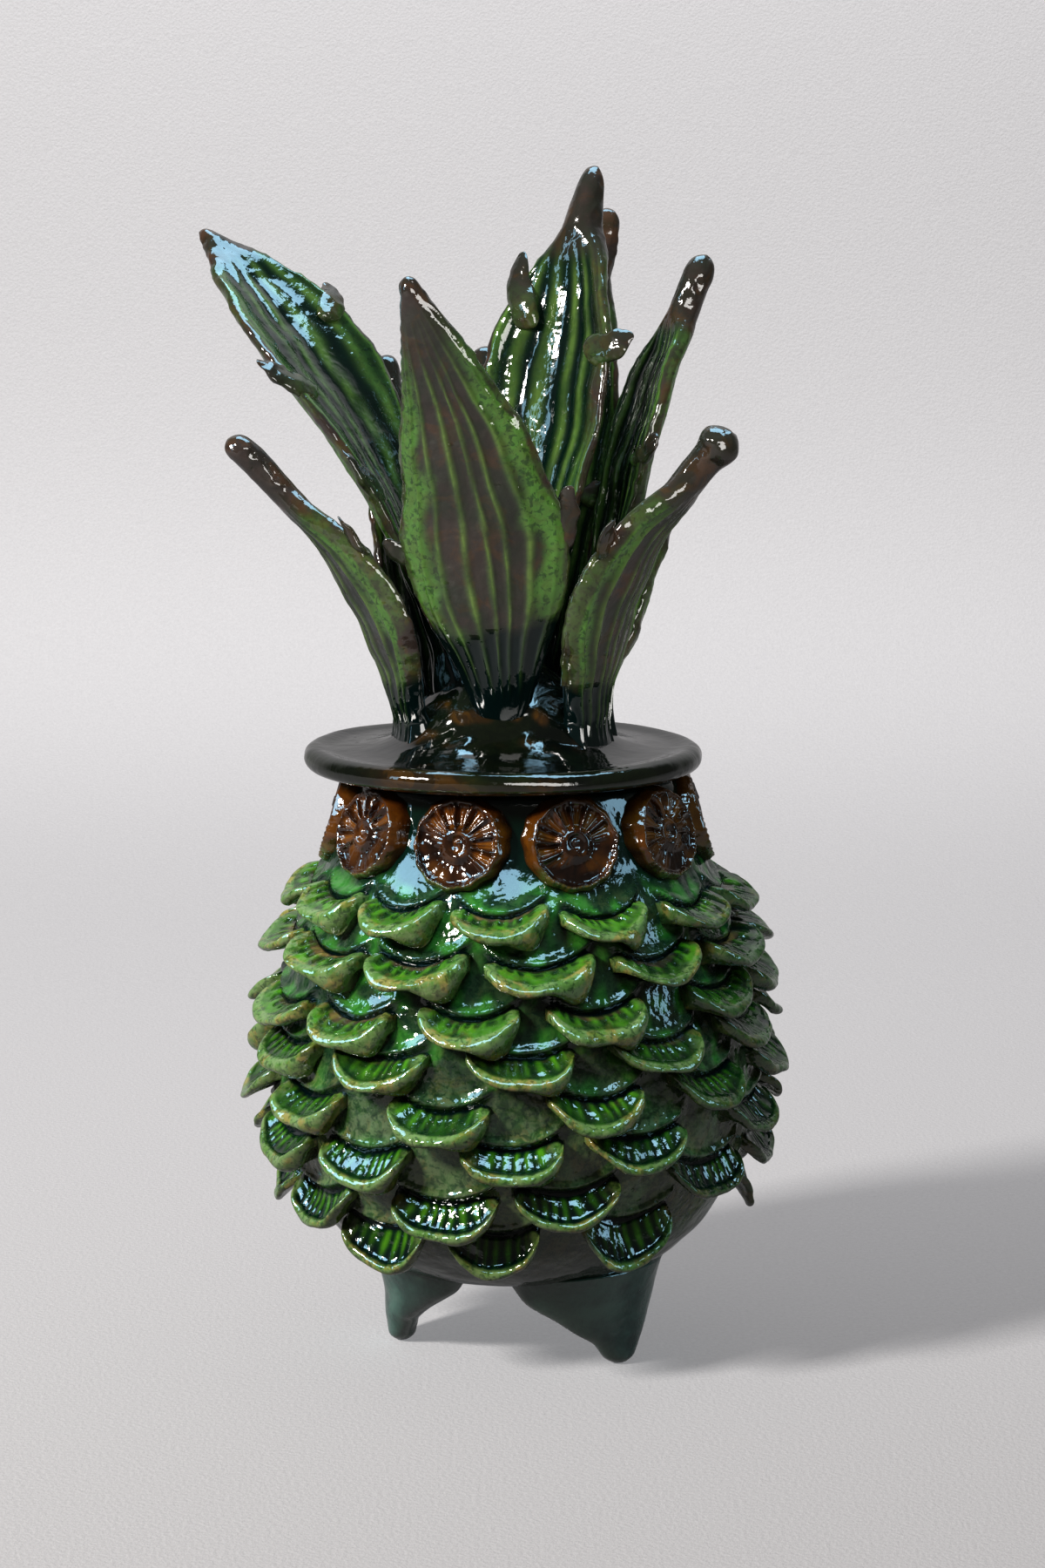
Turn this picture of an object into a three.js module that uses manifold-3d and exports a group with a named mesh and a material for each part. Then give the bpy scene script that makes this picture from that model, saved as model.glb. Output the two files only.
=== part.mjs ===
// A glazed earthenware jar in the form of a pineapple: a hollow pot on three feet, covered with curled
// clay scales and a ring of stamped rosettes, and a loose lid that carries a crown of leaves.
// Millimetres, +Z up.  z = 0 is the surface that the jar stands on; azimuth 0 is the front (-Y) and
// azimuths grow towards +X.
import * as THREE from 'three';
import { mergeVertices } from 'three/addons/utils/BufferGeometryUtils.js';
import Module from 'manifold-3d';

const wasm = await Module();
wasm.setup();

// ---- Driving dimensions -------------------------------------------------------------------------

const AXIS_X = 7.5; // of the pot's axis; the origin is the middle of the footprint, leaves included
const SEAT_GAP = 0.3; // left between two pieces that touch
const ROUND_SIDES = 40; // round the pot and the lid
const INNER_SIDES = 24; // round the inside of the pot

const POT = {
  // outer wall, radius and height, from the middle of the bottom up to the mouth
  wall: [
    [0, 26], [30, 26], [40, 28.2], [49.5, 33], [58.6, 42], [67, 56.4], [71.8, 68], [74.2, 80.5],
    [74.4, 93], [72.8, 107], [69.8, 119], [65.8, 132], [61.2, 146], [56.2, 154], [51.4, 165], [49, 174],
  ],
  mouthZ: 179, // top of the rim that the lid lies on
  mouthRadius: 49,
  lipRadius: 1.4, // rounding of the rim
  thickness: 5.6,
  floorThickness: 6.5,
};

// Each foot spreads into a web under the belly and tapers to a blunt tip.
const FEET = [
  { azimuth: 54, tipRadius: 38.5 },
  { azimuth: -92, tipRadius: 35.5 },
  { azimuth: 150, tipRadius: 36.5 },
];
// height, inward shift of the section's middle, half its radial depth, half its width round the pot
const FOOT_SECTIONS = [
  [0, 0, 3.0, 3.6],
  [1.2, 0, 4.0, 4.8],
  [9, 0.4, 4.6, 11.5],
  [15.5, 2.6, 6.2, 21],
  [22, 5, 10.5, 30],
  [31, 5, 13.5, 36],
];
const FOOT_SIDES = 12;

// Scales, row by row from the top: height of the rim at the front and how much it climbs towards +X,
// the droop of the face below level, the face's length, half its width, the number in the row, and the
// azimuths of those in front as they were set by hand; the rest of the row is spaced evenly.  bare
// lists the places in the row that the webs of the feet take up.
const SCALE_ROWS = [
  { rimZ: 140.4, climb: -0.5, droop: 12, length: 12, half: 14.6, count: 13, front: [-58, -32, -4, 24, 54] },
  { rimZ: 126.8, climb: 0.5, droop: 12, length: 12.2, half: 16.2, count: 12, front: [-54, -25, 6, 37] },
  { rimZ: 111.2, climb: 4.0, droop: 20, length: 12.2, half: 16.2, count: 12, front: [-41, -11, 19, 57] },
  { rimZ: 98, climb: 4.2, droop: 33, length: 12.2, half: 16.4, count: 11, front: [-63, -32, 1, 34, 66] },
  { rimZ: 83.8, climb: 4.6, droop: 34, length: 12.2, half: 16.4, count: 11, front: [-53, -17, 18, 48] },
  { rimZ: 69, climb: 5.0, droop: 43, length: 12.2, half: 16.4, count: 11, front: [-66, -36, -1, 28, 66] },
  { rimZ: 52.5, climb: 6.5, droop: 56, length: 12.2, half: 16.2, count: 11, front: [-56, -17, 12, 50] },
  { rimZ: 38.5, climb: 4.5, droop: 68, length: 13.8, half: 15.2, count: 12, front: [-66, -37, -6, 29, 62],
    bare: [0, 4, 7, 11] },
];
const SCALE = {
  edgeThickness: 3.6,
  rootThickness: 5, // height of the root on the wall
  hornThickness: 3.4,
  smile: 5.4, // how much higher the two horns sit than the middle of the root
  rib: 0.5, // height of the ridges pressed into the face
  dish: 1.7, // depth of the hollow face
  spokes: [-1, -0.88, -0.5, 0, 0.5, 0.88, 1], // columns of points, as shares of the half width
  uneven: { turn: 0.08, width: 0.05, lift: 0.6 }, // hand work
};

const ROSETTE = {
  count: 10,
  radius: 14,
  faceRadius: 56.4, // distance of the face's middle from the axis
  z: 165,
  tilt: 17, // degrees that the face looks up
  petals: 13,
  relief: 1.5, // depth of the grooves between petals
};

const LID = {
  shiftX: -4, // the lid lies a little off the middle of the mouth
  radius: 60.4,
  rimZ: 183, // middle of the rolled rim
  rollRadius: 3.7,
  flangeRadius: 39,
  flangeThickness: 4.5,
  flangeDepth: 8.5,
  plateTopZ: 186,
};
// flank of the knob in the middle of the lid, radius and height, from the plate to its tip
const KNOB = [[33, 186.4], [27, 189], [26.2, 200], [20.5, 205.5], [13, 209], [9, 220]];

// Leaves, each given by the azimuth, distance from the lid's axis and height of its foot and its tip.
// width is its widest, at the share peak of its length, and footWidth is the width of its foot.  cup
// curls its sides in, bow bends the middle inwards and up and sway bends it towards larger azimuths;
// turn rolls the blade about its own length.  finger is the share of the length where the rolled tip
// begins, and its radius.  Each lobe is a tongue of clay pinched on at a share of the length, on the
// edge towards larger azimuths (+1) or smaller ones (-1), with its length, width and outward lean.
const LEAVES = [
  { name: 'front', foot: [-1, 25.4, 202], tip: [-27, 59.5, 327], width: 50, footWidth: 28, peak: 0.36,
    cup: 0.18, bow: 3, sway: 4, turn: 0, finger: [0.97, 3.4],
    lobes: [[0.36, 1, 24, 9, 0.2], [0.36, -1, 10, 7, 0.8]] },
  { name: 'right', foot: [61, 30, 188], tip: [66, 73, 282.5], width: 40, footWidth: 18, peak: 0.42,
    cup: 0.32, bow: 10, sway: 0, turn: 0, finger: [0.84, 4.8],
    lobes: [[0.56, -1, 18, 10, 0.5], [0.24, -1, 28, 8, 0.1]] },
  { name: 'left', foot: [-74, 29, 188], tip: [-76, 82.5, 279.5], width: 42, footWidth: 20, peak: 0.4,
    cup: 0.34, bow: 9, sway: 0, turn: 0, finger: [0.8, 4.2], lobes: [[0.56, 1, 20, 8, 0.1]] },
  { name: 'back_left', foot: [-134, 29, 188], tip: [-148, 71, 300], width: 42, footWidth: 20, peak: 0.42,
    cup: 0.3, bow: 2, sway: 0, turn: 0, finger: [0.9, 4.2], lobes: [[0.7, 1, 12, 8, 0.5]] },
  { name: 'back', foot: [165, 29, 188], tip: [152, 70, 345], width: 36, footWidth: 17, peak: 0.55,
    cup: 0.3, bow: 3, sway: 0, turn: 0, finger: [0.88, 4.4],
    lobes: [[0.6, 1, 16, 9, 0.4], [0.45, -1, 14, 8, 0.5]] },
  { name: 'back_right', foot: [135, 31, 188], tip: [122, 62, 260], width: 27, footWidth: 13, peak: 0.46,
    cup: 0.3, bow: 1, sway: 0, turn: 0, finger: [0.84, 4.3], lobes: [[0.5, 1, 13, 8, 0.5]] },
  { name: 'right_tall', foot: [107, 31, 188], tip: [109, 64.7, 331.5], width: 35, footWidth: 13, peak: 0.68,
    cup: 0.2, bow: 8, sway: 0, turn: 0, finger: [0.88, 4.6], lobes: [[0.58, -1, 12, 8, 0.5]] },
  { name: 'high_left', foot: [-98, 16.5, 203], tip: [-120, 107.5, 338.5], width: 52, footWidth: 17,
    peak: 0.66, cup: 0.2, bow: 13, sway: 0, turn: -25, finger: [0.98, 3.2],
    lobes: [[0.6, 1, 19, 9, 0.7], [0.76, -1, 16, 9, 0.4], [0.38, 1, 20, 9, 0.2]] },
  { name: 'high_middle', foot: [140, 12, 208], tip: [142.5, 45.5, 358], width: 48, footWidth: 15,
    peak: 0.58, cup: 0.3, bow: 4, sway: 0, turn: 0, finger: [0.92, 4.7],
    lobes: [[0.72, 1, 24, 7, 0.05], [0.5, 1, 22, 10, 0.2], [0.62, -1, 20, 12, 1.6]] },
  { name: 'high_back', foot: [-160, 15, 205], tip: [-174, 57, 302], width: 26, footWidth: 12, peak: 0.5,
    cup: 0.3, bow: 8, sway: 0, turn: 0, finger: [0.84, 4.6], lobes: [[0.55, -1, 14, 8, 0.4]] },
];
const LEAF = {
  thickness: 4.6,
  rib: 0.5,
  footCup: 0.26, // follows the round of the knob
  lobeThickness: 5,
  rings: [-0.04, 0.08, 0.2, 0.32, 0.44, 0.56, 0.68, 0.79, 0.88, 0.95], // shares of the length
};

// ---- Small tools --------------------------------------------------------------------------------

const rad = THREE.MathUtils.degToRad;
const deg = THREE.MathUtils.radToDeg;

// A point by azimuth in degrees, distance from the axis and height.
function polar(azimuth, radius, z) {
  return new THREE.Vector3(radius * Math.sin(rad(azimuth)), -radius * Math.cos(rad(azimuth)), z);
}

// A repeatable stream of numbers from -1 to 1.
function unevenness(seed) {
  let state = seed;
  return () => {
    state = (state * 16807) % 2147483647;
    return (state / 2147483647) * 2 - 1;
  };
}

function mix(a, b, share) {
  return a + (b - a) * share;
}

// A closed solid through rings of points, each ring a loop with the same number of points.
function loft(rings) {
  const sides = rings[0].length;
  const positions = rings.flat().flatMap((p) => [p.x, p.y, p.z]);
  const index = [];
  for (let i = 0; i < rings.length - 1; i += 1) {
    for (let j = 0; j < sides; j += 1) {
      const a = i * sides + j;
      const b = i * sides + ((j + 1) % sides);
      index.push(a, b, b + sides, a, b + sides, a + sides);
    }
  }
  for (const [ring, turned] of [[0, true], [rings.length - 1, false]]) {
    const middle = new THREE.Vector3();
    rings[ring].forEach((p) => middle.addScaledVector(p, 1 / sides));
    const centre = positions.length / 3;
    positions.push(middle.x, middle.y, middle.z);
    for (let j = 0; j < sides; j += 1) {
      const a = ring * sides + j;
      const b = ring * sides + ((j + 1) % sides);
      index.push(...(turned ? [b, a, centre] : [a, b, centre]));
    }
  }
  const geometry = new THREE.BufferGeometry();
  geometry.setAttribute('position', new THREE.Float32BufferAttribute(positions, 3));
  geometry.setIndex(index);
  return geometry;
}

// A solid for joining and cutting, turned to face outwards if it was made inside out.
function solidOf(geometry) {
  const bare = new THREE.BufferGeometry();
  bare.setAttribute('position', geometry.getAttribute('position'));
  bare.setIndex(geometry.index);
  const merged = mergeVertices(bare, 1e-3);
  const corners = merged.index.array;
  const triVerts = [];
  for (let i = 0; i < corners.length; i += 3) {
    const [a, b, c] = [corners[i], corners[i + 1], corners[i + 2]];
    if (a !== b && b !== c && c !== a) triVerts.push(a, b, c);
  }
  const build = (order) => new wasm.Manifold(new wasm.Mesh({
    numProp: 3,
    vertProperties: new Float32Array(merged.getAttribute('position').array),
    triVerts: new Uint32Array(order),
  }));
  const solid = build(triVerts);
  return solid.volume() > 0 ? solid : build(triVerts.reverse());
}

function geometryOf(solid) {
  const { vertProperties, triVerts } = solid.getMesh();
  const geometry = new THREE.BufferGeometry();
  geometry.setAttribute('position', new THREE.BufferAttribute(vertProperties, 3));
  geometry.setIndex(new THREE.BufferAttribute(triVerts, 1));
  geometry.computeVertexNormals();
  return geometry;
}

// A solid of revolution about +Z from [radius, z] pairs that start and end on the axis.
function turned(profile) {
  const points = profile.map(([radius, z]) => new THREE.Vector2(radius, z));
  return solidOf(new THREE.LatheGeometry(points, ROUND_SIDES).rotateX(Math.PI / 2));
}

// A quarter or half round of a profile: centre, radius, first and last angle in degrees, and steps.
function arc(radius, z, size, from, to, steps) {
  return Array.from({ length: steps + 1 }, (_, i) => {
    const angle = rad(mix(from, to, i / steps));
    return [radius + size * Math.cos(angle), z + size * Math.sin(angle)];
  });
}

const glaze = {
  pot: new THREE.MeshStandardMaterial({ color: 0x2f6a2c, roughness: 0.16, metalness: 0 }),
  rosette: new THREE.MeshStandardMaterial({ color: 0x4a2a12, roughness: 0.14, metalness: 0 }),
  lid: new THREE.MeshStandardMaterial({ color: 0x141a12, roughness: 0.12, metalness: 0 }),
  leaf: new THREE.MeshStandardMaterial({ color: 0x1f4a26, roughness: 0.15, metalness: 0 }),
};

function piece(name, solid, material) {
  const mesh = new THREE.Mesh(geometryOf(solid), material);
  mesh.name = name;
  return mesh;
}

// ---- Pot ----------------------------------------------------------------------------------------

// Radius of the outer wall at a height.
function wallRadius(z) {
  const wall = POT.wall;
  for (let i = 1; i < wall.length - 1; i += 1) {
    const [r0, z0] = wall[i];
    const [r1, z1] = wall[i + 1];
    if (z >= z0 && z <= z1) return mix(r0, r1, (z - z0) / (z1 - z0));
  }
  return z < wall[1][1] ? wall[1][0] : wall.at(-1)[0];
}

// A level ring of the wall, as [azimuth, radius, z] points.
function levelRing(radius, z, sides = ROUND_SIDES) {
  return Array.from({ length: sides }, (_, i) => [(360 * i) / sides, radius, z]);
}

// Azimuths of one row: those set by hand in front, then the rest spread evenly over the back.
function rowAzimuths({ front, count }) {
  const rest = count - front.length;
  const gap = (front[0] + 360 - front.at(-1)) / (rest + 1);
  return [...front, ...Array.from({ length: rest }, (_, i) => front.at(-1) + gap * (i + 1))];
}

// One row of scales as five rings round the pot, from top to bottom: the root on the wall, the middle of
// the ridged face, the rim's upper edge, its lower edge, and the wall again below the root.
function scaleRings(row, uneven) {
  const { edgeThickness, rootThickness, hornThickness, smile, rib, dish, spokes } = SCALE;
  const azimuths = rowAzimuths(row);
  const droop = rad(row.droop);
  const rings = [[], [], [], [], []];
  azimuths.forEach((azimuth, k) => {
    const before = azimuth - (azimuths[k - 1] ?? azimuths.at(-1) - 360);
    const after = (azimuths[k + 1] ?? azimuths[0] + 360) - azimuth;
    const width = row.half * (1 + uneven() * SCALE.uneven.width);
    const tilt = uneven() * SCALE.uneven.turn;
    const rimZ = row.rimZ + row.climb * Math.sin(rad(azimuth)) + uneven() * SCALE.uneven.lift;
    const rootZ = rimZ + 0.8 * edgeThickness + row.length * Math.sin(droop);
    const halfAngle = Math.min(deg(width / (wallRadius(rootZ) + 4)), 0.47 * before, 0.47 * after);
    spokes.forEach((share, i) => {
      const at = azimuth + halfAngle * share;
      const reach = row.length * Math.sqrt(1 - Math.abs(share) ** 2.4);
      const z = rootZ + smile * share * share + tilt * width * share;
      const wall = wallRadius(z);
      if (row.bare?.includes(k)) {
        const step = rootThickness / (rings.length - 1);
        rings.forEach((ring, n) => ring.push([at, wallRadius(z - n * step), z - n * step]));
        return;
      }
      const ridge = i % 2 ? rib : -rib;
      const thickness = mix(edgeThickness, hornThickness, Math.abs(share) ** 4);
      const along = (length, below) => [
        at,
        wall + length * Math.cos(droop) - below * Math.sin(droop),
        z - length * Math.sin(droop) - below * Math.cos(droop),
      ];
      const low = z - mix(rootThickness, hornThickness + 0.8, Math.abs(share) ** 4);
      rings[0].push([at, wall, z]);
      rings[1].push(along(0.5 * reach + 0.7, dish + ridge));
      rings[2].push(along(reach + 1.2, 0.3));
      rings[3].push(along(reach + 0.6, thickness));
      rings[4].push([at, wallRadius(low), low]);
    });
  });
  return rings;
}

// Triangles between two rings of points whose azimuths grow, whatever their numbers of points.
function zip(upper, lower, upperStart, lowerStart) {
  const azimuth = (ring, i) => ring[i % ring.length][0] + 360 * Math.floor(i / ring.length);
  const faces = [];
  let first = 0;
  while (azimuth(lower, first + 1) < upper[0][0]) first += 1;
  while (azimuth(lower, first) > upper[0][0] + 180) first -= 1;
  let [i, j] = [0, first];
  while (i < upper.length || j < first + lower.length) {
    const moveUpper = j >= first + lower.length
      || (i < upper.length && azimuth(upper, i + 1) <= azimuth(lower, j + 1));
    const a = upperStart + (i % upper.length);
    const b = lowerStart + (j % lower.length);
    if (moveUpper) faces.push(a, b, upperStart + ((i + 1) % upper.length));
    else faces.push(a, b, lowerStart + ((j + 1) % lower.length));
    if (moveUpper) i += 1;
    else j += 1;
  }
  return faces;
}

// A closed skin through rings of [azimuth, radius, z] points, from a pole on the axis to another.
function ringedSolid(top, rings, bottom) {
  const positions = rings.flat().flatMap((p) => polar(...p).toArray());
  const index = [];
  let start = 0;
  for (let k = 0; k < rings.length - 1; k += 1) {
    const next = start + rings[k].length;
    index.push(...zip(rings[k], rings[k + 1], start, next));
    start = next;
  }
  for (const [z, ring, first] of [[top, rings[0], 0], [bottom, rings.at(-1), start]]) {
    const pole = positions.length / 3;
    positions.push(0, 0, z);
    ring.forEach((_, i) => {
      const pair = [first + i, first + ((i + 1) % ring.length)];
      index.push(pole, ...(first ? pair.reverse() : pair));
    });
  }
  const geometry = new THREE.BufferGeometry();
  geometry.setAttribute('position', new THREE.Float32BufferAttribute(positions, 3));
  geometry.setIndex(index);
  return solidOf(geometry);
}

function foot({ azimuth, tipRadius }) {
  const rings = FOOT_SECTIONS.map(([z, shift, depth, width]) => {
    const middle = tipRadius - shift;
    return Array.from({ length: FOOT_SIDES }, (_, i) => {
      const angle = (2 * Math.PI * i) / FOOT_SIDES;
      return polar(azimuth + deg((width * Math.sin(angle)) / middle), middle + depth * Math.cos(angle), z);
    });
  });
  return solidOf(loft(rings));
}

// The pot's skin runs from the middle of the floor inside, up the inner wall, over the rim and down the
// outer wall through the rows of scales.
function pot() {
  const { mouthRadius, mouthZ, lipRadius, thickness, floorThickness, wall } = POT;
  const uneven = unevenness(41);
  const floorZ = wall[0][1] + floorThickness;
  const inner = wall.slice(3).filter(([, z], i) => z > floorZ + 4 && i % 2 === 0);
  const rings = [
    levelRing(wall[2][0] - thickness, floorZ, INNER_SIDES),
    ...inner.map(([radius, z]) => levelRing(radius - thickness, z, INNER_SIDES)),
    levelRing(mouthRadius - thickness, mouthZ - lipRadius),
    levelRing(mouthRadius - thickness + lipRadius, mouthZ),
    levelRing(mouthRadius - lipRadius, mouthZ),
    levelRing(mouthRadius, mouthZ - lipRadius),
    ...wall.slice(-3).reverse().map(([radius, z]) => levelRing(radius, z)),
    ...SCALE_ROWS.flatMap((row) => scaleRings(row, uneven)),
    ...wall.slice(1, 5).reverse().map(([radius, z]) => levelRing(radius, z)),
  ];
  const body = ringedSolid(floorZ, rings, wall[0][1]);
  return FEET.map(foot).reduce((whole, one) => whole.add(one), body);
}

// ---- Rosettes -----------------------------------------------------------------------------------

// A stamped disc: a button in a ring, petals with grooves between them, and a scalloped edge.  Its back
// follows the wall, a gap away from it.
function rosette(azimuth) {
  const { radius, petals, relief, faceRadius, z, tilt } = ROSETTE;
  const sides = petals * 2;
  // radius and depth of each ring, on a petal and in a groove
  const sizes = [
    [0.22, 0.4, 0.22, 0.4], [0.36, 1.7, 0.36, 1.7 + 0.4 * relief], [0.84, 0.5, 0.8, 0.5 + relief],
    [1.0, 1.1, 0.95, 0.9],
  ];
  const frame = new THREE.Matrix4().makeRotationX(Math.PI / 2 - rad(tilt)).setPosition(0, -faceRadius, z);
  const spin = new THREE.Matrix4().makeRotationZ(rad(azimuth));
  const place = (size, depth, i) => {
    const angle = (2 * Math.PI * i) / sides;
    return new THREE.Vector3(size * Math.cos(angle), size * Math.sin(angle), -depth).applyMatrix4(frame);
  };
  const rings = sizes.map(([petalSize, petalDepth, grooveSize, grooveDepth]) => (
    Array.from({ length: sides }, (_, i) => (
      i % 2 ? place(radius * grooveSize, grooveDepth, i) : place(radius * petalSize, petalDepth, i)))));
  const back = rings.at(-1).map((point) => {
    const radiusThere = wallRadius(point.z) + 2 * SEAT_GAP;
    return new THREE.Vector3(point.x, -Math.sqrt(radiusThere ** 2 - point.x ** 2), point.z);
  });
  const all = [...rings, back].map((ring) => ring.map((point) => point.applyMatrix4(spin)));
  return solidOf(loft(all));
}

// ---- Lid ----------------------------------------------------------------------------------------

// The lid's profile from the axis below, round the flange and the rolled rim, to the knob's tip.
function lidProfile() {
  const { radius, rimZ, rollRadius, flangeRadius, flangeThickness, flangeDepth, plateTopZ } = LID;
  const underZ = POT.mouthZ + SEAT_GAP;
  const ceilingZ = underZ + 1.5;
  return [
    [0, ceilingZ],
    [flangeRadius - flangeThickness, ceilingZ],
    [flangeRadius - flangeThickness, underZ - flangeDepth],
    [flangeRadius, underZ - flangeDepth],
    [flangeRadius, underZ],
    [radius - rollRadius - 3, underZ],
    ...arc(radius - rollRadius, rimZ, rollRadius, -90, 110, 5),
    [radius - rollRadius - 5, plateTopZ - 0.4],
    ...KNOB,
    [0, KNOB.at(-1)[1] + 1],
  ];
}

// The room that the plate and the knob take from a leaf's foot, with the gap.
function leafSeat() {
  const raised = KNOB.map(([radius, z]) => [radius + SEAT_GAP, z + SEAT_GAP]);
  const [plateRadius, plateZ] = [LID.radius, LID.plateTopZ + SEAT_GAP];
  return turned([
    [0, POT.mouthZ - 30], [plateRadius, POT.mouthZ - 30], [plateRadius, plateZ], ...raised,
    [0, raised.at(-1)[1] + 1],
  ]);
}

// ---- Crown --------------------------------------------------------------------------------------

// A leaf's middle line: a curve from its foot to its tip.
function midline({ foot: base, tip, bow, sway }) {
  const start = polar(...base);
  const end = polar(...tip);
  const chord = end.clone().sub(start);
  const outward = polar(tip[0], 1, 0);
  const inward = outward.addScaledVector(chord, -outward.dot(chord) / chord.lengthSq()).normalize().negate();
  const sideways = chord.clone().cross(inward).normalize().negate();
  const control = start.clone().add(end).multiplyScalar(0.5)
    .addScaledVector(inward, 2 * bow)
    .addScaledVector(sideways, 2 * sway);
  return new THREE.QuadraticBezierCurve3(start, control, end);
}

// Half the width at a share t of the length: it swells from the foot to the widest place, then narrows
// to the finger.
function halfWidth({ width, footWidth, peak, finger }, t) {
  const [start, radius] = finger;
  const swelling = (1 - Math.cos(Math.PI * THREE.MathUtils.clamp(t / peak, 0, 1))) / 2;
  const narrowing = THREE.MathUtils.clamp((t - peak) / (start - peak), 0, 1) ** 1.5;
  return mix(mix(footWidth, width, swelling) / 2, radius, narrowing);
}

// The outward, sideways and forward directions of a leaf at a share of its length.
function leafFrame(leaf, line, t) {
  const along = line.getTangent(THREE.MathUtils.clamp(t, 0, 1));
  const outward = polar(mix(leaf.foot[0], leaf.foot[0] + turnTo(leaf), t), 1, 0);
  outward.addScaledVector(along, -outward.dot(along)).normalize();
  const sideways = along.clone().cross(outward);
  const angle = rad(leaf.turn * t);
  return {
    along,
    out: outward.clone().multiplyScalar(Math.cos(angle)).addScaledVector(sideways, Math.sin(angle)),
    side: sideways.clone().multiplyScalar(Math.cos(angle)).addScaledVector(outward, -Math.sin(angle)),
  };
}

// The azimuth between a leaf's foot and its tip, the short way round.
function turnTo({ foot: base, tip }) {
  return ((tip[0] - base[0] + 540) % 360) - 180;
}

// One section: ridged on the outer face, plain on the inner one, with rounded edges.
function leafRing(leaf, line, t, shrink) {
  const [start, radius] = leaf.finger;
  const rolled = THREE.MathUtils.smoothstep(t, mix(leaf.peak, start, 0.5), start);
  const half = halfWidth(leaf, t) * shrink;
  const depth = mix(LEAF.thickness / 2, radius, rolled) * shrink;
  const { out, side } = leafFrame(leaf, line, t);
  const middle = line.getPoint(t);
  const cup = mix(LEAF.footCup, leaf.cup, THREE.MathUtils.smoothstep(t, 0, 0.3)) * (1 - rolled);
  const place = (u, height) => middle.clone()
    .addScaledVector(side, u * half)
    .addScaledVector(out, height - cup * u * u * half);
  const fullness = (u) => (1 - Math.abs(u) ** mix(6, 2, rolled)) ** 0.5;
  const ridge = (i) => (i % 2 ? LEAF.rib : 0) * (1 - rolled);
  const outer = [-1, -0.88, -0.6, -0.3, 0, 0.3, 0.6, 0.88, 1];
  const inner = [0.88, 0.45, 0, -0.45, -0.88];
  return [
    ...outer.map((u, i) => place(u, (depth + ridge(i)) * fullness(u))),
    ...inner.map((u) => place(u, -depth * fullness(u))),
  ];
}

// A flattened tongue pinched on at the edge of a leaf, pointing up and away from it.
function lobe(leaf, line, [t, sign, length, width, lean]) {
  const { out, side, along } = leafFrame(leaf, line, t);
  const half = halfWidth(leaf, t);
  const edge = line.getPoint(t)
    .addScaledVector(side, sign * (half - 1.5))
    .addScaledVector(out, -leaf.cup * half);
  const axis = along.clone().addScaledVector(side, sign * lean).normalize();
  const flat = new THREE.Vector3().crossVectors(out, axis).normalize();
  const through = new THREE.Vector3().crossVectors(axis, flat);
  const geometry = new THREE.SphereGeometry(1, 6, 4).rotateX(Math.PI / 2);
  geometry.scale(width / 2, LEAF.lobeThickness / 2, length / 2);
  geometry.applyMatrix4(new THREE.Matrix4().makeBasis(flat, through.negate(), axis));
  const centre = edge.addScaledVector(axis, length * 0.2);
  geometry.translate(centre.x, centre.y, centre.z);
  return solidOf(geometry);
}

function leafSolid(leaf, seat) {
  const line = midline(leaf);
  const rings = [
    ...LEAF.rings.map((t) => leafRing(leaf, line, t, 1)),
    leafRing(leaf, line, 0.99, 0.8),
    leafRing(leaf, line, 1.004, 0.4),
  ];
  const blade = solidOf(loft(rings));
  const whole = leaf.lobes.reduce((body, one) => body.add(lobe(leaf, line, one)), blade);
  const parts = whole.subtract(seat).decompose();
  return parts.reduce((largest, one) => (one.volume() > largest.volume() ? one : largest));
}

// ---- The whole jar ------------------------------------------------------------------------------

const group = new THREE.Group();
const object = new THREE.Group();
object.position.x = AXIS_X;
group.add(object);
object.add(piece('jar', pot(), glaze.pot));

for (let i = 0; i < ROSETTE.count; i += 1) {
  const azimuth = (360 / ROSETTE.count) * (i + 0.5);
  object.add(piece(`rosette_${String(i + 1).padStart(2, '0')}`, rosette(azimuth), glaze.rosette));
}

const lid = new THREE.Group();
lid.position.x = LID.shiftX;
lid.add(piece('lid', turned(lidProfile()), glaze.lid));
const seat = leafSeat();
for (const leaf of LEAVES) lid.add(piece(`leaf_${leaf.name}`, leafSolid(leaf, seat), glaze.leaf));
object.add(lid);

export default group;
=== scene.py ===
import math

import bpy
import numpy as np
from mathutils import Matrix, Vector


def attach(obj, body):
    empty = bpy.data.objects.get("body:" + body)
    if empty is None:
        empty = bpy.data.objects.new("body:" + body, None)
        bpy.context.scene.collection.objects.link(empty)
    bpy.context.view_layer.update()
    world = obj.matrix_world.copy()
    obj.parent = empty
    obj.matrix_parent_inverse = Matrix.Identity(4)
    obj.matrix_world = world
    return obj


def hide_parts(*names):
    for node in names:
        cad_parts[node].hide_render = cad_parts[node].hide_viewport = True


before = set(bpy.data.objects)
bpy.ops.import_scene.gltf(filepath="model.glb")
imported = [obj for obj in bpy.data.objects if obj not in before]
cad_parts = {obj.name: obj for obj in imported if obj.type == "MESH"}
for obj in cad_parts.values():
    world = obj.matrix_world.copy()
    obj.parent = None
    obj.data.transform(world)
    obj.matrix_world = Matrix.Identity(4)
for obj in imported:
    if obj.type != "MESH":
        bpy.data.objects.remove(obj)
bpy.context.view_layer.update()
scene = bpy.context.scene
print("frame loaded:", len(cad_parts), "nodes")

# Shapes are worked out in millimetres about the pot's axis, and makePiece moves them to the frame.
# Azimuth 0 is the front, and azimuths grow towards +X.
potAxisX = 7.5
lidAxisX = -4.0  # the lid's axis, from the pot's


def shown(name, data):
    # a new object in the scene
    item = bpy.data.objects.new(name, data)
    scene.collection.objects.link(item)
    return item


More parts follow.
